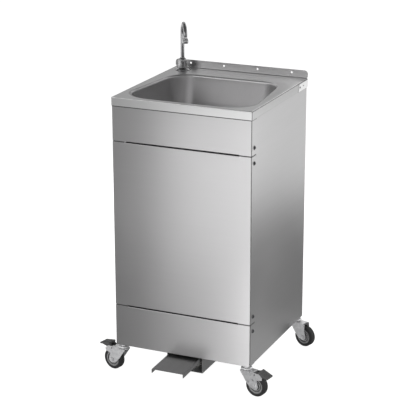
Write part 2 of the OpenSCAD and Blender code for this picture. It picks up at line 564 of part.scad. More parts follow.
module leg_outline(tab) {
  polygon(concat([[-16.5, crown_top - 1], [-16.5, 82], [-8, 70], [6, 49.5], [20, 33.5], [31.5, 27.8], [trail, 37.5], [trail + 11.6, 40.5], [47.5, 60]],
    tab ? [[67.5, 65], [69, 75], [60, 82.5], [55, crown_top - 1]] : [[47.5, crown_top - 1]]));
  translate([trail, axle_z]) circle(r = 12);
}
module fork(i, tab) color(zinc) on_caster(i) difference() {
  union() {
    for (s = [-1, 1]) translate([0, s * (leg_in + leg_t / 2) + leg_t / 2, 0]) rotate([90, 0, 0]) linear_extrude(leg_t) leg_outline(tab);
    translate([0, 0, crown_top - crown_t]) linear_extrude(crown_t) {
      translate([-4, -leg_in - leg_t]) square([tab ? 40 : 44, 2 * (leg_in + leg_t)]);
      circle(r = 18.6);
      translate([-16.5, -leg_in - leg_t]) square([20, 2 * (leg_in + leg_t)]);
    }
  }
  translate([0, 0, 70]) cylinder(r = 6.06, h = 30);
  translate([trail, 30, axle_z]) rotate([90, 0, 0]) cylinder(r = 4.15, h = 60);
  if (tab) translate([brake_pin[0], 30, brake_pin[1]]) rotate([90, 0, 0]) cylinder(r = 2.1, h = 60);
}
module axle(i) color(zinc) on_caster(i) translate([trail, 0, axle_z]) rotate([90, 0, 0]) {
  translate([0, 0, -leg_in - leg_t - 4]) cylinder(r = 4, h = 2 * (leg_in + leg_t) + 9);
  translate([0, 0, leg_in + leg_t + 0.15]) cylinder(r = 6.6, h = 4, $fn = 6);
  translate([0, 0, -leg_in - leg_t - 4.6]) cylinder(r = 7, h = 4.45);
}
module rim(i) color(dark) on_caster(i) translate([trail, 0, axle_z]) rotate([90, 0, 0]) rotate_extrude($fn = 96) difference() {
  union() {
    translate([4.05, -leg_in + 0.5]) square([6, 2 * leg_in - 1]);
    translate([9, -3]) square([16, 6]);
    translate([22, -wheel_w / 2 + 1.2]) square([5, wheel_w - 2.4]);
    translate([14.5, -wheel_w / 2 + 3.4]) square([2, wheel_w - 6.8]);
  }
}
module tyre(i) color([0.09, 0.09, 0.1]) on_caster(i) translate([trail, 0, axle_z]) rotate([90, 0, 0]) rotate_extrude($fn = 96) {
  translate([27.05, -wheel_w / 2 + 0.4]) square([wheel_d / 2 - 27.05 - 4, wheel_w - 0.8]);
  translate([wheel_d / 2 - 5, -wheel_w / 2 + 4]) square([5, wheel_w - 8]);
  for (s = [-1, 1]) translate([wheel_d / 2 - 4, s * (wheel_w / 2 - 4)]) circle(r = 4);
}
// brake lever: a ribbed tread on two cheeks that turn on a pin through the fork
module brake(i) color(dark) on_caster(i) translate([brake_pin[0], 0, brake_pin[1]]) rotate([0, brake_rest[i], 0]) {
  difference() {
    for (s = [-1, 1]) translate([0, s * (leg_in - 1.6) + 1, 0]) rotate([90, 0, 0]) linear_extrude(2) polygon([[-4, 1.5], [-2, 4.5], [9, 13], [44, 7.5], [43, 4], [14, -2.6], [3, -3.4], [-3, -3.2]]);
  }
  rotate([90, 0, 0]) cylinder(r = 2, h = 2 * (leg_in + leg_t) + 3, center = true);
  // shoe that bears on the tread when the lever is down
  translate([14, -leg_in + 1.5, -2.6]) cube([11, 2 * leg_in - 3, 4]);
  translate([11.5, 0, 17.2]) rotate([0, 10, 0]) {
    translate([0, -18, -5]) cube([40, 36, 5]);
    for (k = [0 : 4]) translate([6 + 7 * k, -16, -0.5]) cube([2.2, 32, 1.6]);
  }
}

module caster_fl_fork() fork(0, true);
module caster_fl_axle() axle(0);
module caster_fl_rim() rim(0);
module caster_fl_tyre() tyre(0);
module caster_fl_brake() brake(0);
module caster_fr_fork() fork(1, true);
module caster_fr_axle() axle(1);
module caster_fr_rim() rim(1);
module caster_fr_tyre() tyre(1);
module caster_fr_brake() brake(1);
module caster_rl_fork() fork(2, false);
module caster_rl_axle() axle(2);
module caster_rl_rim() rim(2);
module caster_rl_tyre() tyre(2);
module caster_rr_fork() fork(3, false);
module caster_rr_axle() axle(3);
module caster_rr_rim() rim(3);
module caster_rr_tyre() tyre(3);

worktop();
bowl();
drain_flange();
strainer_plate();
drain_gasket();
drain_nut();
tailpiece();
waste_hose();
tap_escutcheon();
tap_body();
tap_spout();
tap_aerator();
tap_shank();
tap_nut();
supply_hose();
left_side_panel();
right_side_panel();
base_plate();
rear_top_rail();
rear_bottom_rail();
apron_panel();
main_panel();
kick_panel();
panel_screws();
rail_screws();
pedal_housing();
housing_screws();
foot_pedal();
pedal_pin();
pedal_bushes();
pedal_spring();
pump_body();
pump_cover();
pump_plunger();
suction_hose();
hose_clips();
fresh_tank();
fresh_tank_cap();
waste_tank();
waste_tank_cap();
caster_stems();
caster_nuts();
caster_fl_fork();
caster_fl_axle();
caster_fl_rim();
caster_fl_tyre();
caster_fl_brake();
caster_fr_fork();
caster_fr_axle();
caster_fr_rim();
caster_fr_tyre();
caster_fr_brake();
caster_rl_fork();
caster_rl_axle();
caster_rl_rim();
caster_rl_tyre();
caster_rr_fork();
caster_rr_axle();
caster_rr_rim();
caster_rr_tyre();
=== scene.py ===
import json
import math
import bmesh
import bpy
from mathutils import Matrix, Vector, geometry

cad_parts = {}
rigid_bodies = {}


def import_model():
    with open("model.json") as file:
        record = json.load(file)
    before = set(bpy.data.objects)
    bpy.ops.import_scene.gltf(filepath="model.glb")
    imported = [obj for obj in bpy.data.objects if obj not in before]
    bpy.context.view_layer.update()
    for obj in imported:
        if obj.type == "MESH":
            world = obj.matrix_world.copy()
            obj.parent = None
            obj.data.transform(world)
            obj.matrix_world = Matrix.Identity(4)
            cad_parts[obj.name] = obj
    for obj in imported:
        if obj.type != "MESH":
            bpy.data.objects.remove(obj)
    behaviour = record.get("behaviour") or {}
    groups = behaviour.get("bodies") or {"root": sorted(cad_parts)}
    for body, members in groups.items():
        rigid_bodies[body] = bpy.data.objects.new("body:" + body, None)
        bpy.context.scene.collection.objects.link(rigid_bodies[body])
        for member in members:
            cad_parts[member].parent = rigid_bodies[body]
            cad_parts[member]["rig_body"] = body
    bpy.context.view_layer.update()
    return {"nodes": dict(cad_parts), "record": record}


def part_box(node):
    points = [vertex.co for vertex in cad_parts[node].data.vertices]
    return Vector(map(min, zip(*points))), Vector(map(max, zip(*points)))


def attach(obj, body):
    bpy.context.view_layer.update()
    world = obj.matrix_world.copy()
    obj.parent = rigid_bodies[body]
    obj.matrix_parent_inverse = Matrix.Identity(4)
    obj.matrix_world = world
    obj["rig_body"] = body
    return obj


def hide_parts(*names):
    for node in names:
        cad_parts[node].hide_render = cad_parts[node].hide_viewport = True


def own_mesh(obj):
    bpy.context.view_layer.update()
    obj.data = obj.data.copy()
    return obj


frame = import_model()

NODES = frame["nodes"]
BODY = {n: o["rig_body"] for n, o in NODES.items()}

# ---------------------------------------------------------------- the part's own millimetres
# X = 0 is the worktop's middle, Y = 0 its front, Z = 0 the ground.
wl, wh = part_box("worktop")
X0, Y0, Z0 = (wl.x + wh.x) / 2, wl.y, wh.z - 1.005
TO_ROW = Matrix.Translation((X0, Y0, Z0)) @ Matrix.Scale(0.001, 4)
TOP, BY = 978.0, 214.0
SX, PW, FY, BACK = 247.2, 497.0, 1.5, 506.5
G1, G2, GAP = 828.5, 250.0, 4.0
BASE, PANEL_TOP = 102.0, 976.4
SHADE = TOP - 30 - 2.0                     # the narrow strip of painted shade under the worktop's lip
STEMS = [(-230, 18), (230, 18), (-230, 490), (230, 490)]
YAW = [166.8, -9.6, 193.0, -16.3]
NAMES = ["fl", "fr", "rl", "rr"]
TAP = (-202.5, 462.0)
SPOUT_DIR = math.radians(-58.5)


def T(x, y, z):
    return Matrix.Translation((x, y, z))


def R(deg, axis):
    return Matrix.Rotation(math.radians(deg), 4, axis)


# ---------------------------------------------------------------- materials
def new_material(name):
    m = bpy.data.materials.new(name)
    m.use_nodes = True
    n = m.node_tree.nodes
    n.clear()
    out = n.new("ShaderNodeOutputMaterial")
    b = n.new("ShaderNodeBsdfPrincipled")
    m.node_tree.links.new(b.outputs[0], out.inputs[0])
    return m, n, m.node_tree.links, b


def noise(n, links, vec, scale, detail=4.0, rough=0.55, stretch=None):
    t = n.new("ShaderNodeTexNoise")
    t.inputs["Scale"].default_value = scale
    t.inputs["Detail"].default_value = detail
    t.inputs["Roughness"].default_value = rough
    src = vec
    if stretch:
        mp = n.new("ShaderNodeMapping")
        mp.inputs["Scale"].default_value = stretch
        links.new(vec, mp.inputs[0])
        src = mp.outputs[0]
    links.new(src, t.inputs["Vector"])
    return t.outputs["Fac"]


def remap(n, links, v, a, b, c, d):
    r = n.new("ShaderNodeMapRange")
    for k, x in zip(("From Min", "From Max", "To Min", "To Max"), (a, b, c, d)):
        r.inputs[k].default_value = x
    links.new(v, r.inputs["Value"])
    return r.outputs["Result"]


def math_node(n, links, op, a, b):
    k = n.new("ShaderNodeMath")
    k.operation = op
    for i, x in enumerate((a, b)):
        if isinstance(x, (int, float)):
            k.inputs[i].default_value = x
        else:
            links.new(x, k.inputs[i])
    return k.outputs[0]


def mix_rgb(n, links, fac, a, b):
    k = n.new("ShaderNodeMix")
    k.data_type = "RGBA"
    if isinstance(fac, (int, float)):
        k.inputs["Factor"].default_value = fac
    else:
        links.new(fac, k.inputs["Factor"])
    for name, x in (("A", a), ("B", b)):
        s = [i for i in k.inputs if i.name == name and i.type == "RGBA"][0]
        if isinstance(x, tuple):
            s.default_value = (*x, 1)
        else:
            links.new(x, s)
    return [o for o in k.outputs if o.type == "RGBA"][0]


def bump(n, links, b, h, distance, strength=1.0, below=None):
    k = n.new("ShaderNodeBump")
    k.inputs["Distance"].default_value = distance
    k.inputs["Strength"].default_value = strength
    links.new(h, k.inputs["Height"])
    if below is not None:
        links.new(below, k.inputs["Normal"])
    links.new(k.outputs[0], b.inputs["Normal"])
    return k.outputs[0]


def steel(name, low, high, rough, streak, rough_var=0.05, grain=0.00001, wave=0.00012, wave_scale=5.0, aniso=0.0, smudge=0.05):
    """Brushed or satin stainless: grain drawn out along one direction, faint waviness of the sheet, smudges where hands go."""
    m, n, links, b = new_material(name)
    tc = n.new("ShaderNodeTexCoord").outputs["Object"]
    fine = noise(n, links, tc, 1.0, 5.0, 0.62, streak)
    wide = noise(n, links, tc, 1.0, 2.0, 0.5, tuple(s * 0.12 for s in streak))
    cloud = noise(n, links, tc, 3.2, 3.0, 0.5)
    grain_mix = math_node(n, links, "ADD", math_node(n, links, "MULTIPLY", fine, 0.6), math_node(n, links, "MULTIPLY", wide, 0.4))
    tone = remap(n, links, grain_mix, 0.3, 0.7, 0.0, 1.0)
    links.new(mix_rgb(n, links, tone, low, high), b.inputs["Base Color"])
    b.inputs["Metallic"].default_value = 1.0
    marks = remap(n, links, noise(n, links, tc, 14.0, 6.0, 0.6), 0.52, 0.72, 0.0, smudge)
    r = math_node(n, links, "ADD", remap(n, links, grain_mix, 0.3, 0.7, rough - rough_var, rough + rough_var), marks)
    r = math_node(n, links, "ADD", r, remap(n, links, cloud, 0.3, 0.7, -0.02, 0.02))
    links.new(r, b.inputs["Roughness"])
    w = bump(n, links, b, noise(n, links, tc, wave_scale, 2.0, 0.4), wave)
    if grain:
        bump(n, links, b, fine, grain, 1.0, w)
    if aniso:
        b.inputs["Anisotropic"].default_value = aniso
        t = n.new("ShaderNodeTangent")
        t.direction_type = "UV_MAP"
        t.uv_map = "brush"
        links.new(t.outputs[0], b.inputs["Tangent"])
        b.inputs["Anisotropic Rotation"].default_value = 0.25
    return m


def paint_light_gradient(m, x0, x1, stops, floor_z=0.0, floor_tone=1.0):
    """Painted light and shade: a slow change of tone from side to side, multiplied into the base colour as a stand-in
    for what satin steel reflects from what stands round it.
    """
    n, links = m.node_tree.nodes, m.node_tree.links
    b = next(k for k in n if k.type == "BSDF_PRINCIPLED")
    src = b.inputs["Base Color"].links[0].from_socket
    sep = n.new("ShaderNodeSeparateXYZ")
    links.new(n.new("ShaderNodeTexCoord").outputs["Object"], sep.inputs[0])
    ramp = n.new("ShaderNodeValToRGB")
    ramp.color_ramp.interpolation = "EASE"
    e = ramp.color_ramp.elements
    e[0].position, e[1].position = stops[0][0], stops[-1][0]
    for t, _ in stops[1:-1]:
        e.new(t)
    for k, (_, v) in zip(sorted(e, key=lambda k: k.position), stops):
        k.color = (v, v, v, 1)
    links.new(remap(n, links, sep.outputs["X"], x0, x1, 0.0, 1.0), ramp.inputs["Fac"])
    tone = ramp.outputs["Color"]
    if floor_z:
        f = n.new("ShaderNodeMix")
        f.data_type = "RGBA"
        links.new(remap(n, links, sep.outputs["Z"], floor_z, floor_z + 0.03, 0.0, 1.0), f.inputs[0])
        f.inputs[6].default_value = (floor_tone, floor_tone, floor_tone, 1)
        links.new(tone, f.inputs[7])
        tone = f.outputs[2]
    mx = n.new("ShaderNodeMix")
    mx.data_type = "RGBA"
    mx.blend_type = "MULTIPLY"
    mx.inputs[0].default_value = 1.0
    links.new(src, mx.inputs[6])
    links.new(tone, mx.inputs[7])
    links.new(mx.outputs[2], b.inputs["Base Color"])


def metal(name, low, high, rough, rough_var=0.06, scale=60.0, grain=0.00003, worn=None, metallic=1.0):
    """Plated, cast or turned metal: mottled tone, fine pitting, worn edges."""
    m, n, links, b = new_material(name)
    tc = n.new("ShaderNodeTexCoord").outputs["Object"]
    mott = noise(n, links, tc, scale, 5.0, 0.6)
    col = mix_rgb(n, links, remap(n, links, mott, 0.3, 0.7, 0.0, 1.0), low, high)
    if worn:
        g = n.new("ShaderNodeNewGeometry")
        col = mix_rgb(n, links, remap(n, links, g.outputs["Pointiness"], 0.52, 0.6, 0.0, 0.7), col, worn)
    links.new(col, b.inputs["Base Color"])
    b.inputs["Metallic"].default_value = metallic
    links.new(remap(n, links, noise(n, links, tc, scale * 0.6, 4.0, 0.6), 0.3, 0.7, rough - rough_var, rough + rough_var), b.inputs["Roughness"])
    bump(n, links, b, noise(n, links, tc, scale * 14, 3.0, 0.6), grain)
    return m


def plastic(name, low, high, rough, scale=70.0, grain=0.00004, grain_scale=900.0, specular=0.5, worn=None, dust=None, subsurface=0.0, transmission=0.0, coat=0.0):
    """Moulded plastic or rubber: slight tone mottling, a moulded grain, pale worn edges and dust in patches."""
    m, n, links, b = new_material(name)
    tc = n.new("ShaderNodeTexCoord").outputs["Object"]
    mott = noise(n, links, tc, scale, 4.0, 0.55)
    col = mix_rgb(n, links, remap(n, links, mott, 0.3, 0.7, 0.0, 1.0), low, high)
    if dust:
        col = mix_rgb(n, links, remap(n, links, noise(n, links, tc, scale * 0.35, 6.0, 0.65), 0.5, 0.75, 0.0, 0.5), col, dust)
    if worn:
        g = n.new("ShaderNodeNewGeometry")
        col = mix_rgb(n, links, remap(n, links, g.outputs["Pointiness"], 0.515, 0.6, 0.0, 0.6), col, worn)
    links.new(col, b.inputs["Base Color"])
    links.new(remap(n, links, noise(n, links, tc, scale * 0.7, 4.0, 0.6), 0.3, 0.7, rough - 0.07, rough + 0.07), b.inputs["Roughness"])
    b.inputs["Specular IOR Level"].default_value = specular
    if subsurface:
        b.inputs["Subsurface Weight"].default_value = subsurface
        b.inputs["Subsurface Radius"].default_value = (0.01, 0.01, 0.012)
        b.inputs["Subsurface Scale"].default_value = 1.0
    if transmission:
        b.inputs["Transmission Weight"].default_value = transmission
    if coat:
        b.inputs["Coat Weight"].default_value = coat
        b.inputs["Coat Roughness"].default_value = 0.15
    bump(n, links, b, noise(n, links, tc, grain_scale, 3.0, 0.6), grain)
    return m


FRONT = (7, 520, 520)
SIDE = (520, 7, 520)
MAT = {
    "top": steel("brushed_worktop", (0.65, 0.647, 0.65), (0.69, 0.687, 0.69), 0.31, FRONT, 0.018, 0.0000003, 0.00004, 2.5, 0.3, 0.015),
    "lip": steel("brushed_lip", (0.66, 0.66, 0.66), (0.70, 0.70, 0.70), 0.33, FRONT, 0.018, 0.0000003, 0.00003, 2.5, 0.3, 0.015),
    # painted shade: a darker copy of the lip's steel for the lip's side faces
    "side_lip": steel("side_lip_painted_shade", (0.50, 0.50, 0.50), (0.53, 0.53, 0.53), 0.30, SIDE, 0.012, 0.0000002, 0.00003, 2.0, 0.3, 0.01),
    "front": steel("brushed_front", (0.568, 0.563, 0.568), (0.582, 0.577, 0.582), 0.30, FRONT, 0.006, 0.00000005, 0.00001, 2.0, 0.5, 0.006),
    "side": steel("brushed_side", (0.56, 0.56, 0.56), (0.59, 0.585, 0.59), 0.30, SIDE, 0.010, 0.00000016, 0.00003, 2.0, 0.5, 0.008),
    # painted shade: a dark copy of the steel for the worktop's side bends, the lip's turned-under edge and the panels'
    # corner bends
    "dark_bend_paint": steel("painted_dark_bend", (0.20, 0.20, 0.20), (0.24, 0.24, 0.24), 0.30, SIDE, 0.02, 0.0000002, 0.00002, 2.0, 0.0, 0.02),
    # painted highlight: a near-white copy of the steel for the tabs on the lip's rear ends
    "tab": steel("painted_highlight_tab", (0.86, 0.86, 0.86), (0.92, 0.92, 0.92), 0.34, FRONT, 0.02, 0.0000002, 0.00002, 2.0, 0.0, 0.02),
    # painted shade: dark steel under the lip, behind the panel gaps, on the folded edges inside the gaps and in the
    # tab's slots
    "shade_paint": steel("seam_shade", (0.10, 0.10, 0.10), (0.14, 0.14, 0.14), 0.38, FRONT, 0.02, 0.0000002, 0.00002, 2.0, 0.0, 0.02),
    # painted highlight: a bright copy of the steel along the worktop's front bend and the tops of its bends
    "crest": steel("painted_highlight_crest", (0.84, 0.84, 0.84), (0.88, 0.88, 0.88), 0.33, FRONT, 0.02, 0.0000002, 0.00002, 2.0, 0.0, 0.02),
    "inner": steel("inner_steel", (0.46, 0.46, 0.465), (0.54, 0.54, 0.545), 0.36, FRONT, 0.03, 0.0000008, 0.00006, 4.0),
    "bowl": steel("pressed_bowl", (0.78, 0.773, 0.78), (0.81, 0.803, 0.81), 0.36, (30, 30, 30), 0.012, 0.0, 0.00002, 3.0, 0.0, 0.01),
    "pedal": steel("pedal_steel", (0.22, 0.22, 0.22), (0.30, 0.30, 0.30), 0.44, (300, 9, 300), 0.07, 0.00001, 0.0001, 9.0),
    "chrome": metal("chrome", (0.37, 0.37, 0.375), (0.42, 0.42, 0.425), 0.11, 0.03, 40.0, 0.000001),
    "zinc": metal("zinc_plate", (0.57, 0.57, 0.58), (0.76, 0.76, 0.77), 0.33, 0.08, 90.0, 0.00002, (0.9, 0.9, 0.9), 0.62),
    "screw": metal("dark_screw", (0.05, 0.05, 0.055), (0.10, 0.10, 0.105), 0.34, 0.08, 200.0, 0.00002, (0.3, 0.3, 0.3)),
    "brass": metal("brass", (0.52, 0.36, 0.14), (0.66, 0.48, 0.22), 0.28, 0.08, 90.0, 0.00002, (0.8, 0.62, 0.34)),
    "tyre": plastic("tyre_rubber", (0.017, 0.017, 0.018), (0.028, 0.028, 0.029), 0.62, 60.0, 0.00006, 700.0, 0.35, (0.05, 0.05, 0.05), (0.055, 0.053, 0.05)),
    "wheel": plastic("wheel_plastic", (0.15, 0.15, 0.152), (0.19, 0.19, 0.192), 0.36, 90.0, 0.00003, 900.0, 0.5, (0.34, 0.34, 0.34), (0.2, 0.2, 0.198)),
    # painted highlight: lighter rings standing for highlights on the hub's ridges
    "ridge_highlight_paint": plastic("wheel_ridge_painted_highlight", (0.36, 0.36, 0.362), (0.44, 0.44, 0.442), 0.34, 90.0, 0.00002, 900.0, 0.5, (0.5, 0.5, 0.5)),
    "brake": plastic("brake_plastic", (0.060, 0.060, 0.062), (0.082, 0.082, 0.084), 0.46, 90.0, 0.00006, 800.0, 0.5, (0.10, 0.10, 0.10), (0.07, 0.07, 0.068)),
    "white": plastic("white_plastic", (0.72, 0.72, 0.70), (0.80, 0.80, 0.78), 0.38, 60.0, 0.00003, 900.0, 0.5, (0.88, 0.88, 0.86), (0.6, 0.59, 0.56)),
    "tank": plastic("tank_plastic", (0.66, 0.72, 0.76), (0.74, 0.79, 0.82), 0.42, 26.0, 0.00008, 500.0, 0.45, (0.85, 0.89, 0.92), None, 0.35),
    "waste_tank": plastic("waste_tank_plastic", (0.48, 0.48, 0.46), (0.56, 0.56, 0.54), 0.45, 26.0, 0.00008, 500.0, 0.45, (0.68, 0.68, 0.66), None, 0.25),
    "blue": plastic("blue_plastic", (0.014, 0.07, 0.30), (0.022, 0.10, 0.38), 0.38, 60.0, 0.00003, 900.0, 0.5, (0.12, 0.22, 0.5)),
    "dark": plastic("dark_plastic", (0.030, 0.030, 0.032), (0.045, 0.045, 0.047), 0.42, 80.0, 0.00003, 900.0, 0.5, (0.12, 0.12, 0.12)),
    "hose": plastic("hose_plastic", (0.55, 0.60, 0.64), (0.66, 0.70, 0.73), 0.28, 40.0, 0.00001, 500.0, 0.5, None, None, 0.3, 0.25),
    "waste_hose": plastic("waste_hose_plastic", (0.52, 0.53, 0.54), (0.62, 0.63, 0.64), 0.42, 40.0, 0.00002, 500.0, 0.5, None, (0.45, 0.44, 0.42)),
    "seal": plastic("seal_rubber", (0.015, 0.015, 0.016), (0.028, 0.028, 0.03), 0.6, 60.0, 0.00004, 700.0, 0.35),
}
# painted shade and highlight in the bowl: dark left wall, a bright band at the back-left corner, darker at the right
# end and darker on the floor
paint_light_gradient(MAT["bowl"], -0.23, 0.23, [(0.0, 0.50), (0.10, 0.54), (0.145, 0.74), (0.185, 0.98), (0.235, 0.76), (0.40, 0.88), (0.62, 0.95), (0.80, 1.0), (0.87, 0.82), (1.0, 0.46)], 0.825, 0.80)
# painted light on the deck: lighter towards its right side
paint_light_gradient(MAT["top"], -0.25, 0.25, [(0.0, 0.86), (0.6, 0.86), (1.0, 1.0)])


# ---------------------------------------------------------------- mesh tools, in millimetres of the part's own frame
def fillet(pts, radius, n=5, closed=True):
    """Rounds the corners of a 2D outline; radius is one number or one per corner."""
    out, k = [], len(pts)
    for i, p in enumerate(pts):
        r = radius[i] if isinstance(radius, (list, tuple)) else radius
        p = Vector(p)
        if r <= 0 or (not closed and i in (0, k - 1)):
            out.append((p.x, p.y))
            continue
        a, c = Vector(pts[(i - 1) % k]), Vector(pts[(i + 1) % k])
        u, v = (a - p), (c - p)
        lu, lv = u.length, v.length
        u, v = u / lu, v / lv
        ang = u.angle(v, math.pi)
        if ang > math.pi - 0.02:
            out.append((p.x, p.y))
            continue
        d = min(r / math.tan(ang / 2), lu * 0.49, lv * 0.49)
        rr = d * math.tan(ang / 2)
        centre = p + (u + v).normalized() * (rr / math.sin(ang / 2))
        s, e = p + u * d - centre, p + v * d - centre
        a0, a1 = math.atan2(s.y, s.x), math.atan2(e.y, e.x)
        da = (a1 - a0 + math.pi) % (2 * math.pi) - math.pi
        for j in range(n + 1):
            t = a0 + da * j / n
            out.append((centre.x + rr * math.cos(t), centre.y + rr * math.sin(t)))
    return out


def lathe(bm, prof, seg=64, M=Matrix(), closed=False, wobble=None):
    rings = []
    for k, (r, z) in enumerate(prof):
        if r < 1e-6:
            rings.append([bm.verts.new(M @ Vector((0, 0, z)))])
        else:
            rings.append([bm.verts.new(M @ Vector(((r + (wobble(k, 2 * math.pi * i / seg) if wobble else 0)) * math.cos(2 * math.pi * i / seg), (r + (wobble(k, 2 * math.pi * i / seg) if wobble else 0)) * math.sin(2 * math.pi * i / seg), z))) for i in range(seg)])
    n = len(rings)
    for a in range(n if closed else n - 1):
        A, B = rings[a], rings[(a + 1) % n]
        if len(A) == 1 and len(B) == 1:
            continue
        for i in range(seg):
            j = (i + 1) % seg
            if len(A) == 1:
                bm.faces.new((A[0], B[j], B[i]))
            elif len(B) == 1:
                bm.faces.new((A[i], A[j], B[0]))
            else:
                bm.faces.new((A[i], A[j], B[j], B[i]))
    return rings


def sweep(bm, pts, radius, seg=24, inner=None, M=Matrix(), flat=None, close=False):
    """A round or oval tube along pts; radius is a number or a function of (index, share of the way)."""
    q = [Vector(p) for p in pts]
    m = len(q)
    ref = Vector((0, 0, 1))
    t0 = (q[1] - q[0]).normalized()
    if abs(t0.dot(ref)) > 0.9:
        ref = Vector((1, 0, 0))
    u = (ref - t0 * ref.dot(t0)).normalized()
    frames, prev = [], t0
    for i in range(m):
        t = (q[min(i + 1, m - 1)] - q[max(i - 1, 0)]).normalized()
        ax = prev.cross(t)
        if ax.length > 1e-9:
            u = Matrix.Rotation(prev.angle(t), 3, ax.normalized()) @ u
        u = (u - t * u.dot(t)).normalized()
        frames.append((u.copy(), t.cross(u)))
        prev = t

    def tube(rf):
        rings = []
        for i, (p, (a, b)) in enumerate(zip(q, frames)):
            r = rf(i, i / (m - 1)) if callable(rf) else rf
            fl = flat or (1, 1)
            rings.append([bm.verts.new(M @ (p + a * (r * fl[0] * math.cos(2 * math.pi * k / seg)) + b * (r * fl[1] * math.sin(2 * math.pi * k / seg)))) for k in range(seg)])
        for i in range(m - 1):
            for k in range(seg):
                j = (k + 1) % seg
                bm.faces.new((rings[i][k], rings[i][j], rings[i + 1][j], rings[i + 1][k]))
        return rings
    o = tube(radius)
    if inner is None:
        bm.faces.new(list(reversed(o[0])))
        bm.faces.new(o[-1])
    else:
        w = tube(inner)
        for e in (0, -1):
            for k in range(seg):
                j = (k + 1) % seg
                bm.faces.new((o[e][k], o[e][j], w[e][j], w[e][k]))


def plate(bm, outline, holes, z0, z1, M=Matrix()):
    """A flat plate between z0 and z1 with the given outline and holes, all as 2D points."""
    loops = [outline] + list(holes)
    co, edges, start = [], [], []
    for lp in loops:
        s = len(co)
        start.append(s)
        co += [Vector((p[0], p[1])) for p in lp]
        edges += [(s + i, s + (i + 1) % len(lp)) for i in range(len(lp))]
    faces = [list(range(start[k], start[k] + len(lp))) for k, lp in enumerate(loops)]
    v2, e2, f2, ov, oe, of = geometry.delaunay_2d_cdt(co, edges, [faces[0]], 1, 1e-5)
    keep = []
    for f in f2:
        c = sum((v2[i] for i in f), Vector((0, 0))) / len(f)
        inside = lambda lp: sum(((lp[i][1] > c.y) != (lp[i - 1][1] > c.y)) and (c.x < (lp[i - 1][0] - lp[i][0]) * (c.y - lp[i][1]) / (lp[i - 1][1] - lp[i][1]) + lp[i][0]) for i in range(len(lp))) % 2 == 1
        if inside(outline) and not any(inside(h) for h in holes):
            keep.append(f)
    lo = [bm.verts.new(M @ Vector((p.x, p.y, z0))) for p in v2]
    hi = [bm.verts.new(M @ Vector((p.x, p.y, z1))) for p in v2]
    for f in keep:
        bm.faces.new([hi[i] for i in f])
        bm.faces.new([lo[i] for i in reversed(f)])
    find = {}
    for i, ids in enumerate(ov):
        for k in ids:
            find[k] = i
    for k, lp in enumerate(loops):
        for i in range(len(lp)):
            a, b = find[start[k] + i], find[start[k] + (i + 1) % len(lp)]
            if a != b:
                try:
                    bm.faces.new((lo[a], lo[b], hi[b], hi[a]))
                except ValueError:
                    pass


def circle(x, y, r, n=32):
    return [(x + r * math.cos(2 * math.pi * i / n), y + r * math.sin(2 * math.pi * i / n)) for i in range(n)]


def box_uv(me):
    uv = me.uv_layers.new(name="brush")
    for p in me.polygons:
        a = [abs(x) for x in p.normal]
        k = (1, 2) if a[0] >= max(a[1], a[2]) else (0, 2) if a[1] >= a[2] else (0, 1)
        for li in p.loop_indices:
            c = me.vertices[me.loops[li].vertex_index].co
            uv.data[li].uv = (c[k[0]], c[k[1]])


def piece(bm, name, nodes, material, angle=32, merge=0.001, solid=0.0, bevel=0.0, weighted=False, fix=True, extra=()):
    """Turns a bmesh in the part's millimetres into a piece that replaces CAD nodes and rides on their body."""
    if merge:
        bmesh.ops.remove_doubles(bm, verts=bm.verts, dist=merge)
    bmesh.ops.dissolve_degenerate(bm, edges=bm.edges, dist=1e-5)
    if fix:
        bmesh.ops.recalc_face_normals(bm, faces=bm.faces)
    bm.normal_update()
    for k, (_, rule) in enumerate(extra):    # faces that take other materials: lip faces, and painted light and shade on bends, crests, ridges and seams
        for f in bm.faces:
            if rule(f.calc_center_median(), f.normal):
                f.material_index = k + 1
    bm.transform(TO_ROW)
    for f in bm.faces:
        f.smooth = True
    lim = math.radians(angle)
    for e in bm.edges:
        e.smooth = not (len(e.link_faces) == 2 and e.calc_face_angle(0) > lim)
    me = bpy.data.meshes.new(name)
    bm.to_mesh(me)
    bm.free()
    me.materials.append(MAT[material])
    for other, _ in extra:
        me.materials.append(MAT[other])
    o = bpy.data.objects.new(name, me)
    bpy.context.scene.collection.objects.link(o)
    box_uv(me)
    if solid:
        s = o.modifiers.new("thickness", "SOLIDIFY")
        s.thickness = solid / 1000
        s.offset = -1
        s.use_even_offset = True
    if bevel:
        b = o.modifiers.new("edges", "BEVEL")
        b.width = bevel / 1000
        b.segments = 2
        b.limit_method = "ANGLE"
        b.angle_limit = math.radians(40)
        b.harden_normals = False
    if weighted:
        w = o.modifiers.new("normals", "WEIGHTED_NORMAL")
        w.keep_sharp = True
    nodes = [nodes] if isinstance(nodes, str) else nodes
    if nodes:
        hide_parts(*nodes)
        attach(o, BODY[nodes[0]])
    return o


def refine(node, name, material, bevel=0.35, segments=2, angle=35):
    """A cleaner copy of a CAD node: flat faces merged and every sharp edge rounded."""
    src = NODES[node].data
    bm = bmesh.new()
    bm.from_mesh(src)
    bm.transform(TO_ROW.inverted())
    bmesh.ops.remove_doubles(bm, verts=bm.verts, dist=0.002)
    bmesh.ops.dissolve_limit(bm, angle_limit=math.radians(0.8), verts=bm.verts, edges=bm.edges, delimit={"NORMAL"})
    bmesh.ops.recalc_face_normals(bm, faces=bm.faces)
    lim = math.radians(angle)
    es = [e for e in bm.edges if len(e.link_faces) == 2 and e.calc_face_angle(0) > lim]
    if bevel and es:
        bmesh.ops.bevel(bm, geom=es, offset=bevel, segments=segments, profile=0.6, affect="EDGES", clamp_overlap=True, offset_type="OFFSET")
    bmesh.ops.triangulate(bm, faces=[f for f in bm.faces if len(f.verts) > 6])
    return piece(bm, name, node, material, angle=30, merge=0.0005, weighted=True)


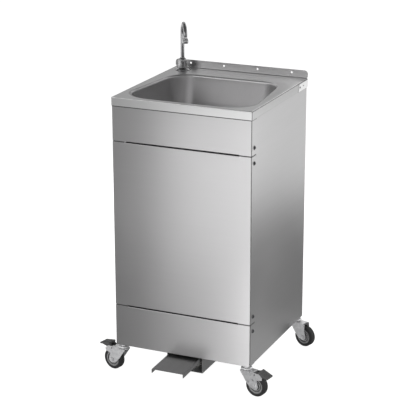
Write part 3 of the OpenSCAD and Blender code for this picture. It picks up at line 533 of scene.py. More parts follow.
# ---------------------------------------------------------------- worktop and bowl
def rounded_rect(a, b, r, n, cy=BY):
    """Half sizes a and b, n steps a corner and a few along each side, anticlockwise from +X."""
    pts = []
    for q in range(4):
        sx, sy = (1 if q in (0, 3) else -1), (1 if q < 2 else -1)
        for i in range(n + 1):
            t = math.radians(90 * q + 90 * i / n)
            pts.append((sx * (a - r) + r * math.cos(t), cy + sy * (b - r) + r * math.sin(t)))
        nx = math.radians(90 * q + 90)
        p0 = pts[-1]
        q2 = (q + 1) % 4
        sx2, sy2 = (1 if q2 in (0, 3) else -1), (1 if q2 < 2 else -1)
        p1 = (sx2 * (a - r) + r * math.cos(nx), cy + sy2 * (b - r) + r * math.sin(nx))
        for k in range(1, 6):
            pts.append((p0[0] + (p1[0] - p0[0]) * k / 6, p0[1] + (p1[1] - p0[1]) * k / 6))
    return pts


def bowl_outline(a, b, r, n, f=1.0):
    """The bowl's outline: tighter corners at the back, and narrower there."""
    back = max(r - 24.0, 20.0)
    pts = []
    for q in range(4):
        rq = back if q < 2 else r
        sx, sy = (1 if q in (0, 3) else -1), (1 if q < 2 else -1)
        arc = []
        for i in range(n + 1):
            t = math.radians(90 * q + 90 * i / n)
            arc.append((sx * (a - rq) + rq * math.cos(t), sy * (b - rq) + rq * math.sin(t)))
        q2 = (q + 1) % 4
        r2 = back if q2 < 2 else r
        sx2, sy2 = (1 if q2 in (0, 3) else -1), (1 if q2 < 2 else -1)
        nx = math.radians(90 * q + 90)
        p0, p1 = arc[-1], (sx2 * (a - r2) + r2 * math.cos(nx), sy2 * (b - r2) + r2 * math.sin(nx))
        arc += [(p0[0] + (p1[0] - p0[0]) * k / 6, p0[1] + (p1[1] - p0[1]) * k / 6) for k in range(1, 6)]
        pts += arc
    return [(x * (1 - f * 0.18 * y / 392.0), BY + y) for x, y in pts]


def build_worktop():
    bm = bmesh.new()
    rb, w, yb = 3.0, 250.0, 503.8          # bend radius, half width, where the deck turns up at the rear
    inner = bowl_outline(218.1, 196.1, 104.1, 20)
    # deck boundary: a rectangle inset by the bend radius, hit by rays from the bowl's middle
    x1, y0, y1 = w - rb, rb, yb
    corners = [(x1, y1), (-x1, y1), (-x1, y0), (x1, y0)]
    edge = []
    for px, py in inner:
        dx, dy = px - 0.0, py - BY
        s = min((x1 / abs(dx)) if dx else 1e9, ((y1 - BY) / dy) if dy > 0 else 1e9, ((y0 - BY) / dy) if dy < 0 else 1e9)
        edge.append((dx * s, BY + dy * s))
    for c in corners:                       # the nearest point lands on each corner
        k = min(range(len(edge)), key=lambda i: (edge[i][0] - c[0]) ** 2 + (edge[i][1] - c[1]) ** 2)
        edge[k] = c
    iv = [bm.verts.new((x, y, TOP)) for x, y in inner]
    ev = [bm.verts.new((x, y, TOP)) for x, y in edge]
    n = len(inner)
    for i in range(n):
        j = (i + 1) % n
        bm.faces.new((iv[i], ev[i], ev[j], iv[j]))

    def bend(p, d, side):
        """Column of points from the deck's edge over the bend and down the lip, facing d."""
        out = []
        for k in range(1, 7):
            t = math.radians(15 * k)
            out.append((p[0] + d[0] * rb * math.sin(t), p[1] + d[1] * rb * math.sin(t), TOP - rb * (1 - math.cos(t))))
        for z in (TOP - 12, TOP - 28.6):
            out.append((p[0] + d[0] * rb, p[1] + d[1] * rb, z))
        # safe edge turned under
        for k in range(1, 4):
            t = math.radians(30 * k)
            out.append((p[0] + d[0] * (rb - 1.4 * (1 - math.cos(t))), p[1] + d[1] * (rb - 1.4 * (1 - math.cos(t))), TOP - 28.6 - 1.4 * math.sin(t)))
        return out

    # columns round the left side, front and right side, from the rear left to the rear right
    order = [i for i in range(n)]
    left = [edge[i] for i in order if abs(edge[i][0] + x1) < 1e-6]
    front = [edge[i] for i in order if abs(edge[i][1] - y0) < 1e-6]
    right = [edge[i] for i in order if abs(edge[i][0] - x1) < 1e-6]
    left = sorted(set(left), key=lambda p: -p[1])
    front = sorted(set(front), key=lambda p: p[0])
    right = sorted(set(right), key=lambda p: p[1])
    cols = [((-x1, 506.8), (-1, 0))] + [(p, (-1, 0)) for p in left]
    cols += [((-x1, y0), (-math.cos(math.radians(15 * k)), -math.sin(math.radians(15 * k)))) for k in range(1, 6)]
    cols += [(p, (0, -1)) for p in front]
    cols += [((x1, y0), (math.sin(math.radians(15 * k)), -math.cos(math.radians(15 * k)))) for k in range(1, 6)]
    cols += [(p, (1, 0)) for p in right] + [((x1, 506.8), (1, 0))]
    prev = None
    for p, d in cols:
        col = [bm.verts.new((p[0], p[1], TOP))] + [bm.verts.new(c) for c in bend(p, d, 0)]
        if prev:
            for k in range(len(col) - 1):
                f = (prev[k], prev[k + 1], col[k + 1], col[k])
                if k == 0 and (Vector(prev[0].co) - Vector(col[0].co)).length < 1e-6:
                    f = (prev[k], prev[k + 1], col[k + 1])
                bm.faces.new(f)
        prev = col
    # rear bend up to the upstand
    rear = sorted(set(edge[i] for i in order if abs(edge[i][1] - y1) < 1e-6), key=lambda p: p[0])
    prev = None
    xs = [p[0] for p in rear]
    for x in xs:
        col = [bm.verts.new((x, yb + rb * math.sin(math.radians(15 * k)), TOP + rb * (1 - math.cos(math.radians(15 * k))))) for k in range(7)]
        if prev:
            for k in range(6):
                bm.faces.new((prev[k], col[k], col[k + 1], prev[k + 1]))
        prev = col
    # upstand face with rounded ends and four holes
    zt = TOP + 27
    outline = [(x, TOP + rb) for x in xs]
    outline = [(-250, TOP + rb)] + outline + [(250, TOP + rb)]
    for k in range(9):
        t = math.radians(90 * k / 8)
        outline.append((238 + 12 * math.cos(t), zt - 12 + 12 * math.sin(t)))
    for k in range(9):
        t = math.radians(90 + 90 * k / 8)
        outline.append((-238 + 12 * math.cos(t), zt - 12 + 12 * math.sin(t)))
    holes = [circle(i * 127.0, TOP + 16, 3.5, 28) for i in (-1.5, -0.5, 0.5, 1.5)]
    loops = [outline] + holes
    co, es, start = [], [], []
    for lp in loops:
        s = len(co)
        start.append(s)
        co += [Vector(p) for p in lp]
        es += [(s + i, s + (i + 1) % len(lp)) for i in range(len(lp))]
    v2, e2, f2, _, _, _ = geometry.delaunay_2d_cdt(co, es, [list(range(len(outline)))], 1, 1e-5)
    vs = [bm.verts.new((p.x, 506.8, p.y)) for p in v2]
    for f in f2:
        c = sum((v2[i] for i in f), Vector((0, 0))) / len(f)
        if all((c.x - i * 127.0) ** 2 + (c.y - TOP - 16) ** 2 > 3.45 ** 2 for i in (-1.5, -0.5, 0.5, 1.5)):
            bm.faces.new([vs[i] for i in f])
    bmesh.ops.remove_doubles(bm, verts=bm.verts, dist=0.01)
    bmesh.ops.recalc_face_normals(bm, faces=bm.faces)
    up = max(bm.faces, key=lambda f: f.calc_area())
    if up.normal.z < 0:
        bmesh.ops.reverse_faces(bm, faces=bm.faces)
    extra = [
        ("lip", lambda c, q: c.z < TOP - 3.2),
        # painted shade on the lip's side faces
        ("side_lip", lambda c, q: c.z < TOP - 3.2 and abs(c.x) > 249.5),
        # painted shade on the lip's turned-under edge, the side bends and the front corners
        ("dark_bend_paint", lambda c, q: (c.z < TOP - 28.6 and (c.y < 2 or c.y > 405)) or (TOP - 3.2 < c.z < TOP - 0.45 and abs(c.x) > 247.2 and c.y > rb) or (c.z < TOP - 0.45 and c.y < rb and abs(c.x) > 247.0 and 0.3 < abs(q.x) < 0.95)),
        # painted highlight along the front bend and the tops of the bends
        ("crest", lambda c, q: TOP - 2.2 <= c.z < TOP - 0.01 and (c.y < rb and abs(c.x) <= 247.0 or c.z > TOP - 0.45 and c.y < 503)),
    ]
    return piece(bm, "worktop_sheet", "worktop", "top", merge=0, solid=1.2, bevel=0.25, weighted=True, fix=False, extra=extra)


def build_bowl():
    bm = bmesh.new()
    deep, rim, draft, fil = 150.0, 8.0, 14.0, 46.0
    prof = [(rim * math.sin(math.radians(9 * i)), -rim * (1 - math.cos(math.radians(9 * i)))) for i in range(11)]
    prof += [(rim + draft * i / 6, -rim - (deep - rim - fil) * i / 6) for i in range(1, 7)]
    prof += [(rim + draft + fil * (1 - math.cos(math.radians(7.5 * i))), -deep + fil - fil * math.sin(math.radians(7.5 * i))) for i in range(1, 13)]
    prof = [(-1.6, -0.02)] + prof            # a narrow lap covers the joint, which is ground flush
    rings = [bowl_outline(218 - p[0], 196 - p[0], max(104 - p[0], 30), 20) for p in prof]
    zs = [TOP + 0.03 + p[1] for p in prof]
    last = rings[-1]
    seat = rounded_rect(38, 38, 37.99, 20)
    for k in range(1, 9):                    # the floor falls to the drain
        f = k / 8
        rings.append([(a[0] + (b[0] - a[0]) * f, a[1] + (b[1] - a[1]) * f) for a, b in zip(last, seat)])
        zs.append(TOP - deep - 5.0 * (1 - (1 - f) ** 1.6))
    rings.append(rounded_rect(36.5, 36.5, 36.49, 20)); zs.append(TOP - deep - 5.8)
    rings.append(rounded_rect(26, 26, 25.99, 20)); zs.append(TOP - deep - 5.8)
    prev = None
    for ring, z in zip(rings, zs):
        vs = [bm.verts.new((x, y, z)) for x, y in ring]
        if prev:
            m = len(vs)
            for i in range(m):
                j = (i + 1) % m
                bm.faces.new((prev[i], prev[j], vs[j], vs[i]))
        prev = vs
    bmesh.ops.recalc_face_normals(bm, faces=bm.faces)
    # the upper, inner side faces up
    f = min(bm.faces, key=lambda f: (f.calc_center_median() - Vector((0, BY, TOP - deep))).length)
    if f.normal.z < 0:
        bmesh.ops.reverse_faces(bm, faces=bm.faces)
    return piece(bm, "bowl_pressing", "bowl", "bowl", merge=0, solid=1.0, fix=False, angle=50)


def build_lip_ends():
    """A slotted tab spot-welded on the rear end of the lip at each side."""
    for side, nm in ((1, "right"), (-1, "left")):
        bm = bmesh.new()
        out = fillet([(417, TOP - 29), (503, TOP - 29), (503, TOP - 4), (424, TOP - 4)], [2, 2, 3, 5], 5)
        slots = [[(cy + a * math.cos(math.radians(20 * k)), TOP - 15.5 + b * math.sin(math.radians(20 * k))) for k in range(18)] for cy, a, b in ((430, 5.5, 3.4), (462, 5.0, 1.8))]
        M = T(side * 250.0, 0, 0) @ Matrix(((0, 0, 1, 0), (1, 0, 0, 0), (0, 1, 0, 0), (0, 0, 0, 1)))
        plate(bm, out, slots, -0.1, 0.7, M)
        # inset faces in the slots, which carry painted shade
        for slot in slots:
            plate(bm, slot, [], -0.1, 0.12, M)
        # the tab wears a near-white painted highlight
        o = piece(bm, f"{nm}_lip_end_tab", None, "tab", extra=[("shade_paint", lambda c, q: (c.y - 430) ** 2 / 40 + (c.z - TOP + 15.5) ** 2 / 18 < 1.0 or (c.y - 462) ** 2 / 36 + (c.z - TOP + 15.5) ** 2 / 6 < 1.0)])
        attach(o, BODY["worktop"])


build_worktop()
build_bowl()
build_lip_ends()
DZ = TOP - 150 - 5


# ---------------------------------------------------------------- drain
def build_drain():
    M = T(0, BY, DZ)
    bm = bmesh.new()
    lathe(bm, [(22, -42), (22, -2.4), (23, -1.2), (30, 0.9), (33.5, 1.7), (35.4, 1.4), (36, 0.4), (35.6, 0.1), (25.5, 0.1), (25.5, -42)], 72, M, closed=True)
    for k in range(9):                       # thread on the barrel
        z = -12 - 3.2 * k
        lathe(bm, [(25.4, z + 0.9), (26.0, z), (25.4, z - 0.9)], 72, M)
    piece(bm, "drain_flange_ring", "drain_flange", "bowl")
    bm = bmesh.new()
    lathe(bm, [(12.8 if z % 2 else 12.2, -42 - z * 1.0) for z in range(21, 45)][::-1] + [(12.8, -63), (20, -61.5), (20, -47), (31, -46), (31, -26), (30, -24.5), (25.8, -24.5), (25.8, -42.2), (10, -42.2), (10, -85.5)], 64, M, closed=True)
    for k in range(16):
        a = 2 * math.pi * k / 16
        plate(bm, fillet([(30.4, -1.6), (32.6, -1.2), (32.6, 1.2), (30.4, 1.6)], 0.5, 2), [], -44.5, -26.5, M @ Matrix.Rotation(a, 4, "Z"))
    piece(bm, "drain_tailpiece", "tailpiece", "white")


build_drain()
refine("strainer_plate", "strainer_disc", "inner", 0.3)
refine("drain_gasket", "drain_washer", "seal", 0.4)
refine("drain_nut", "drain_back_nut", "white", 0.6)


# ---------------------------------------------------------------- tap
def build_tap():
    M = T(TAP[0], TAP[1], TOP)
    bm = bmesh.new()
    dome = [(8.2, 0.2), (27.4, 0.2), (27.7, 0.7), (27.5, 1.5), (26.9, 2.0)]
    dome += [(26.4 * math.cos(math.radians(t)) , 2.0 + 5.2 * math.sin(math.radians(t))) for t in (12, 24, 36, 48, 58)]
    dome += [(11.0, 7.0), (8.2, 7.2)]
    lathe(bm, dome, 96, M, closed=True)
    piece(bm, "tap_cover_plate", "tap_escutcheon", "chrome")
    bm = bmesh.new()
    prof = [(4.2, 7.4), (15.3, 7.4), (15.6, 7.9), (15.6, 9.6), (15.2, 10.3), (14.3, 10.8), (14.2, 12.0), (14.5, 13.5), (14.5, 29)]
    prof += [(4.5 + 10 * math.cos(math.radians(t)), 33.4 + 10 * math.sin(math.radians(t))) for t in (0, 12, 24, 36, 48, 60)]
    prof += [(8.9, 42.6), (8.6, 43.2), (7.31, 43.4), (7.31, 20), (4.2, 20)]
    lathe(bm, prof, 96, M, closed=True)
    piece(bm, "tap_bell", "tap_body", "chrome")
    # spout: riser and swan neck as one swept tube
    MS = M @ Matrix.Rotation(SPOUT_DIR, 4, "Z")
    bm = bmesh.new()
    pts = [(0, 0, 22 + (128 - 22) * k / 20) for k in range(20)]
    pts += [(42 - 42 * math.cos(math.pi * k / 56), 0, 128 + 42 * math.sin(math.pi * k / 56)) for k in range(57)]
    sweep(bm, pts, 7.25, 40, inner=5.75, M=MS)
    piece(bm, "tap_swan_neck", "tap_spout", "chrome", angle=40)
    bm = bmesh.new()
    MA = MS @ T(84, 0, 128)
    prof = [(5.0, -0.1), (7.2, -0.1), (8.6, -0.8), (9.5, -2.2), (9.6, -5.6), (10.6, -6.2), (11.0, -6.9), (11.0, -9.2), (10.7, -9.5), (10.7, -9.9), (11.0, -10.2), (11.0, -16.1), (10.5, -16.9), (9.3, -17.0), (9.0, -16.6), (9.0, -14.0), (5.0, -14.0)]
    lathe(bm, prof, 96, MA, closed=True)
    piece(bm, "tap_aerator_ring", "tap_aerator", "chrome")
    # brass below the worktop
    bm = bmesh.new()
    shank = [(2.6, 7.0), (7.3, 7.0)]
    z = 4.0
    while z > -46:
        shank += [(7.5, z), (6.9, z - 0.55)]
        z -= 1.1
    shank += [(7.0, -48), (3.9, -54), (3.9, -60), (4.5, -61), (3.9, -63), (4.5, -64), (3.9, -66), (4.5, -67), (3.9, -69), (4.4, -70), (3.6, -76), (2.6, -76)]
    lathe(bm, shank, 48, M, closed=True)
    plate(bm, fillet([(9 * math.cos(math.radians(60 * k)), 9 * math.sin(math.radians(60 * k))) for k in range(6)], 0.8, 2), [], -54, -46, M)
    piece(bm, "tap_threaded_shank", "tap_shank", "brass")
    refine("tap_nut", "tap_back_nut", "brass", 0.5)


build_tap()


# ---------------------------------------------------------------- cabinet sheets
def bent_sheet(path, z0, z1, thick, name, node, material, radius=2.2, inward=1, rows=None):
    """A tall sheet that follows a plan outline with rounded bends; thickness goes to the right of the path."""
    pl = fillet(path, radius, 6, closed=False)
    bm = bmesh.new()
    zs = rows or [z0, z1]
    grid = [[bm.verts.new((x, y, z)) for z in zs] for x, y in pl]
    for a, b in zip(grid, grid[1:]):
        for k in range(len(zs) - 1):
            f = (a[k], b[k], b[k + 1], a[k + 1])
            bm.faces.new(f if inward > 0 else tuple(reversed(f)))
    # the side sheets carry painted shade behind the panel gaps
    return piece(bm, name, node, material, merge=0, solid=thick, bevel=0.25, weighted=True, fix=False, extra=[("shade_paint", lambda c, q: c.y < FY + 40.5 and min(abs(c.z - G1), abs(c.z - G2)) < 2)])


y0 = FY + 1.3
for s, nm in ((-1, "left"), (1, "right")):
    path = [(s * (SX - 43), y0), (s * SX, y0), (s * SX, FY + 40.5), (s * SX, BACK), (s * (SX - 25), BACK)]
    bent_sheet(path, BASE, PANEL_TOP, 1.2, f"{nm}_side_sheet", f"{nm}_side_panel", "side", 1.9, inward=s, rows=[BASE, G2 - 2.5, G2 + 2.5, G1 - 2.5, G1 + 2.5, SHADE, PANEL_TOP])


def front_sheet(name, node, z0, z1, lo, hi):
    """Front panel: wraps round both corners; the edges at the gaps are folded inwards between the posts."""
    bm = bmesh.new()
    h, rb, xf = PW / 2, 1.8, SX - 44.0
    plan = fillet([(-h, FY + 40), (-h, FY), (h, FY), (h, FY + 40)], 2.6, 8, closed=False)
    left = [p for p in plan if p[0] < -xf]
    right = [p for p in plan if p[0] > xf]
    mid = [(-xf + 2 * xf * k / 8, FY) for k in range(9)]
    cols = [(p, False) for p in left] + [(mid[0], False)] + [(p, True) for p in mid] + [(mid[-1], False)] + [(p, False) for p in right]

    def column(p, folded):
        pts = []
        arc = [math.radians(15 * k) for k in range(1, 7)]
        if folded and lo:
            pts += [(p[0], p[1] + lo, z0)] + [(p[0], p[1] + rb * (1 - math.cos(t)), z0 + rb * (1 - math.sin(t))) for t in reversed(arc)]
        elif lo:
            pts += [(p[0], p[1], z0)]
        else:
            pts += [(p[0], p[1], z0)]
        pts.append((p[0], p[1], z0 + rb))
        if z1 == PANEL_TOP:                 # a row just under the worktop's lip
            pts.append((p[0], p[1], SHADE))
        pts.append((p[0], p[1], z1 - rb))
        if folded and hi:
            pts += [(p[0], p[1] + rb * (1 - math.cos(t)), z1 - rb * (1 - math.sin(t))) for t in arc] + [(p[0], p[1] + hi, z1)]
        else:
            pts.append((p[0], p[1], z1))
        return [bm.verts.new(c) for c in pts]

    prev = None
    for p, folded in cols:
        col = column(p, folded)
        if prev:
            pc, pf = prev
            if pf == folded:
                for k in range(len(col) - 1):
                    bm.faces.new((pc[k], col[k], col[k + 1], pc[k + 1]))
        prev = (col, folded)
    # the plain and folded columns meet along the flat of the face
    bmesh.ops.remove_doubles(bm, verts=bm.verts, dist=0.01)
    bmesh.ops.recalc_face_normals(bm, faces=bm.faces)
    f = max(bm.faces, key=lambda f: f.calc_area())
    if f.normal.y > 0:
        bmesh.ops.reverse_faces(bm, faces=bm.faces)
    extra = [
        ("side", lambda c, q: abs(q.x) > 0.95),
        # painted shade on the corner bends
        ("dark_bend_paint", lambda c, q: abs(c.x) > h - 2.5 and c.y < FY + 2.5),
        # painted shade under the lip and on the folded edges inside the gaps
        ("shade_paint", lambda c, q: c.z > SHADE or (abs(c.x) < xf and c.y > FY + 0.8)),
    ]
    return piece(bm, name, node, "front", merge=0, solid=1.2, bevel=0.2, weighted=True, fix=False, extra=extra)


front_sheet("apron_sheet", "apron_panel", G1 + GAP / 2, PANEL_TOP, 18, 0)
front_sheet("main_sheet", "main_panel", G2 + GAP / 2, G1 - GAP / 2, 18, 18)
front_sheet("kick_sheet", "kick_panel", BASE, G2 - GAP / 2, 11, 18)

refine("base_plate", "base_tray", "inner", 0.3)
refine("rear_top_rail", "rear_rail_upper", "inner", 0.3)
refine("rear_bottom_rail", "rear_rail_lower", "inner", 0.3)


# ---------------------------------------------------------------- screws
def dome_head(bm, M, r=6.3, h=5.0, hexr=2.4, seg=48):
    """Button head with a hexagon socket."""
    rs = (r * r + h * h) / (2 * h)
    zc = h - rs
    rows = [[(r * math.cos(2 * math.pi * i / seg), r * math.sin(2 * math.pi * i / seg), 0.0) for i in range(seg)]]
    for k in range(1, 8):
        rr = r - (r - hexr * 1.25) * k / 7
        rows.append([(rr * math.cos(2 * math.pi * i / seg), rr * math.sin(2 * math.pi * i / seg), zc + math.sqrt(max(rs * rs - rr * rr, 0))) for i in range(seg)])
    ztop = rows[-1][0][2]

    def hexa(z, sc=1.0):
        out = []
        for i in range(seg):
            a = 2 * math.pi * i / seg
            q = hexr * sc * math.cos(math.pi / 6) / math.cos((a % (math.pi / 3)) - math.pi / 6)
            out.append((q * math.cos(a), q * math.sin(a), z))
        return out
    rows += [hexa(ztop), hexa(ztop - 0.25, 0.97), hexa(ztop - 1.9, 0.95)]
    prev = None
    for row in rows:
        vs = [bm.verts.new(M @ Vector(p)) for p in row]
        if prev:
            for i in range(seg):
                j = (i + 1) % seg
                bm.faces.new((prev[i], prev[j], vs[j], vs[i]))
        else:
            first = vs
        prev = vs
    bm.faces.new(prev)
    bm.faces.new(list(reversed(first)))


def build_screws():
    bm = bmesh.new()
    for g in (G1, G2):
        for o in (-26, 26):
            for s in (-1, 1):
                M = T(s * (PW / 2 + 0.1), 23, g + o) @ R(s * 90, "Y")
                lathe(bm, [(0, 0.35), (6.9, 0.35), (7.3, 0.15), (7.3, 0.0), (0, 0.0)], 48, M)
                dome_head(bm, M @ T(0, 0, 0.35), 6.3, 4.6)
                lathe(bm, [(0, -9), (2.0, -9), (2.5, -8.4), (2.5, 0)], 24, M)
                plate(bm, fillet([(4.6 * math.cos(math.radians(60 * k)), 4.6 * math.sin(math.radians(60 * k))) for k in range(6)], 0.4, 2), [circle(0, 0, 2.45, 24)], -7, -3.2, M)
    piece(bm, "panel_button_screws", "panel_screws", "screw")
    bm = bmesh.new()
    for s in (-1, 1):
        for z in (BASE + 24, BASE + 52, PANEL_TOP - 24, PANEL_TOP - 52):
            M = T(s * (SX - 14), BACK + 1.4, z) @ R(-90, "X")
            dome_head(bm, M, 4.8, 2.4, 1.7, 36)
            lathe(bm, [(0, -6), (1.6, -6), (2.0, -5.5), (2.0, 0)], 20, M)
    piece(bm, "rail_button_screws", "rail_screws", "zinc")


build_screws()
refine("housing_screws", "housing_bolts", "zinc", 0.35)


# ---------------------------------------------------------------- pedal and housing
def build_pedal():
    """Inverted channel: a folded sheet with deeper ears at the pin."""
    M = T(0, 205, 84) @ R(1.0, "X")
    bm = bmesh.new()
    w, top, rb = 58.0, 12.6, 2.6
    ys = [-322 + 282 * k / 12 for k in range(13)] + [-36, -30, -20, -10, -6, -3, 0, 3, 5.5, 7.2, 8.0]

    def low(y):
        if y < -40.5:
            return -2.8
        if y <= 0:
            return -2.8 - 5.2 * min(1, (y + 40) / 6)
        return -math.sqrt(max(64 - y * y, 0))
    prev = None
    for y in ys:
        z = low(y)
        pts = [(-w, y, z), (-w, y, min(z + 3, top - rb)), (-w, y, top - rb)]
        pts += [(-w + rb * (1 - math.cos(math.radians(18 * k))), y, top - rb + rb * math.sin(math.radians(18 * k))) for k in range(1, 6)]
        pts += [(-w / 2, y, top), (0, y, top), (w / 2, y, top)]
        pts += [(w - rb * (1 - math.cos(math.radians(18 * k))), y, top - rb + rb * math.sin(math.radians(18 * k))) for k in range(5, -1, -1)]
        pts += [(w, y, min(z + 3, top - rb)), (w, y, z)]
        col = [bm.verts.new(M @ Vector(p)) for p in pts]
        if prev:
            for k in range(len(col) - 1):
                bm.faces.new((prev[k], col[k], col[k + 1], prev[k + 1]))
        prev = col
    bmesh.ops.recalc_face_normals(bm, faces=bm.faces)
    f = max(bm.faces, key=lambda f: f.calc_area())
    if f.normal.z < 0:
        bmesh.ops.reverse_faces(bm, faces=bm.faces)
    piece(bm, "pedal_channel", "foot_pedal", "pedal", merge=0, solid=2.0, bevel=0.45, weighted=True, fix=False)


build_pedal()
refine("pedal_housing", "pedal_housing_channel", "pedal", 0.5)
refine("pedal_pin", "pedal_hinge_pin", "zinc", 0.5)
refine("pedal_bushes", "pedal_pin_bushes", "white", 0.3)


def build_spring():
    bm = bmesh.new()
    z0, z1 = 41.6, 84 + 10.4 / math.cos(math.radians(1)) - 55 * math.tan(math.radians(1)) - 0.8 - 1.6
    turns, steps = 6, 36
    pts = []
    for i in range(turns * steps + 1):
        f = i / (turns * steps)
        a = 2 * math.pi * turns * f
        # closed end coils
        e = 0.75 / turns
        g = 0 if f < e else 1 if f > 1 - e else (f - e) / (1 - 2 * e)
        lift = min(f, e) / e * 0.02 if f < e else 0.02
        pts.append((12 * math.cos(a), 150 + 12 * math.sin(a), z0 + (z1 - z0) * (0.04 * min(f / e, 1) + 0.92 * g + 0.04 * max((f - 1 + e) / e, 0))))
    sweep(bm, pts, 1.2, 12)
    o = piece(bm, "pedal_return_spring", "pedal_spring", "zinc", merge=0.0005)
    return o


spring = build_spring()
refine("pump_cover", "pump_lid", "blue", 0.5)


def build_pump():
    bm = bmesh.new()
    M = T(0, 95, 40)
    prof = [(0, 0), (36.2, 0), (37, 0.8), (37, 3.2), (36.2, 4.0), (33.6, 4.2), (33.0, 5.0)]
    for k in range(4):
        z = 7.5 + 3.4 * k
        prof += [(33.0, z - 1.0), (33.7, z - 0.4), (33.7, z + 0.4), (33.0, z + 1.0)]
    prof += [(33.0, 20.0), (33.6, 21.0), (36.4, 21.2), (37, 21.9), (37, 24.8), (36.3, 25.5), (29.8, 25.5), (29.5, 25.2), (29.5, 4), (0, 4)]
    lathe(bm, prof, 96, M)
    for s in (-1, 1):
        N = M @ T(s * 20, 17, 13) @ R(-90, "X")
        lathe(bm, [(2.6, 0), (7, 0), (7, 17.2), (6.4, 18), (3.9, 18.4), (3.9, 22), (4.3, 24), (3.9, 26), (4.3, 28), (3.9, 30), (4.3, 32), (3.6, 34), (2.6, 34)], 40, N, closed=True)
    for v in bm.verts:                       # the ports stop inside the barrel's wall, clear of the bore
        x, y, z = v.co.x, v.co.y - 95, v.co.z - 53
        if abs(y - 17) < 0.01 and abs(z) < 7.1 and abs(abs(x) - 20) < 7.1:
            v.co.y = 95 + math.sqrt(31.0 ** 2 - x * x)
    piece(bm, "pump_barrel", "pump_body", "white")
    bm = bmesh.new()
    cap_top = 84 + 10.6 / math.cos(math.radians(1)) - 110 * math.tan(math.radians(1)) - 0.55
    N = T(0, 95, 0)
    prof = [(0, 59.8), (29.0, 59.8), (29.43, 60.2), (29.43, 61.4), (28.9, 61.8), (28.9, 62.6), (29.43, 63.0), (29.43, 65.0), (29.0, 65.4), (8.6, 65.4), (8, 66), (8, cap_top - 4.6), (13.6, cap_top - 4.5), (14.0, cap_top - 4.0)]
    prof += [(16 * math.sin(math.radians(t)), cap_top - 16 + 16 * math.cos(math.radians(t))) for t in (57, 48, 38, 28, 18, 9, 0)]
    lathe(bm, prof, 80, N)
    piece(bm, "pump_plunger_rod", "pump_plunger", "white")


build_pump()


# ---------------------------------------------------------------- hoses
def route(p, k):
    p = [Vector(x) for x in p]
    out = []
    for i in range(len(p) - 1):
        a = 2 * p[0] - p[1] if i == 0 else p[i - 1]
        b, c = p[i], p[i + 1]
        d = 2 * p[i + 1] - p[i] if i + 2 > len(p) - 1 else p[i + 2]
        for j in range(k):
            t = j / k
            out.append(0.5 * (2 * b + (c - a) * t + (2 * a - 5 * b + 4 * c - d) * t * t + (3 * b - a - 3 * c + d) * t ** 3))
    return out + [p[-1]]


HY, TANK_TOP, TANK_Z = 245.0, 525.2, 105.2
rise = [(0, 134, 53), (0, 200, 53), (0, 230, 60), (0, HY, 84), (0, HY, 130), (0, HY, 250), (0, HY, 400)]
supply = [(x + 20, y, z) for x, y, z in rise] + [(20, HY, 560), (8, 262, 650), (-50, 330, 720), (-140, 420, 775), (-194, 456, 835), (TAP[0], TAP[1], TOP - 98), (TAP[0], TAP[1], TOP - 76), (TAP[0], TAP[1], TOP - 56)]
suction = [(x - 20, y, z) for x, y, z in rise] + [(-20, HY, TANK_TOP + 50), (-35, HY, TANK_TOP + 95), (-70, HY, TANK_TOP + 115), (-105, HY, TANK_TOP + 95), (-120, HY, TANK_TOP + 50), (-120, HY, TANK_TOP - 100), (-120, HY, TANK_Z + 25)]
for nm, node, pts in (("supply_tube", "supply_hose", supply), ("suction_tube", "suction_hose", suction)):
    bm = bmesh.new()
    sweep(bm, route(pts, 10), 6, 24, inner=4.4)
    piece(bm, nm, node, "hose", angle=50)
WT = DZ - 42 - 21
waste = [(0, WT), (0, WT - 17), (0, WT - 34), (7, WT - 58), (40, WT - 94), (84, WT - 125), (114, WT - 165), (120, WT - 200), (120, TANK_TOP - 20)]
bm = bmesh.new()
wp = route([(x, BY, z) for x, z in waste], 60)
# even steps along the route
acc, even = 0.0, [wp[0]]
for a, b in zip(wp, wp[1:]):
    seg = (b - a).length
    while acc + seg >= 0.8:
        f = (0.8 - acc) / seg
        a = a + (b - a) * f
        seg = (b - a).length
        acc = 0.0
        even.append(a)
    acc += seg
even.append(wp[-1])
nrings = len(even)
sweep(bm, even, lambda i, f: 16.4 if (i < 24 or i > nrings - 24) else 15.4 + 0.95 * math.cos(2 * math.pi * i / 6), 32, inner=13.4)
piece(bm, "waste_tube_corrugated", "waste_hose", "waste_hose", angle=60)
refine("hose_clips", "hose_clip_set", "zinc", 0.2)


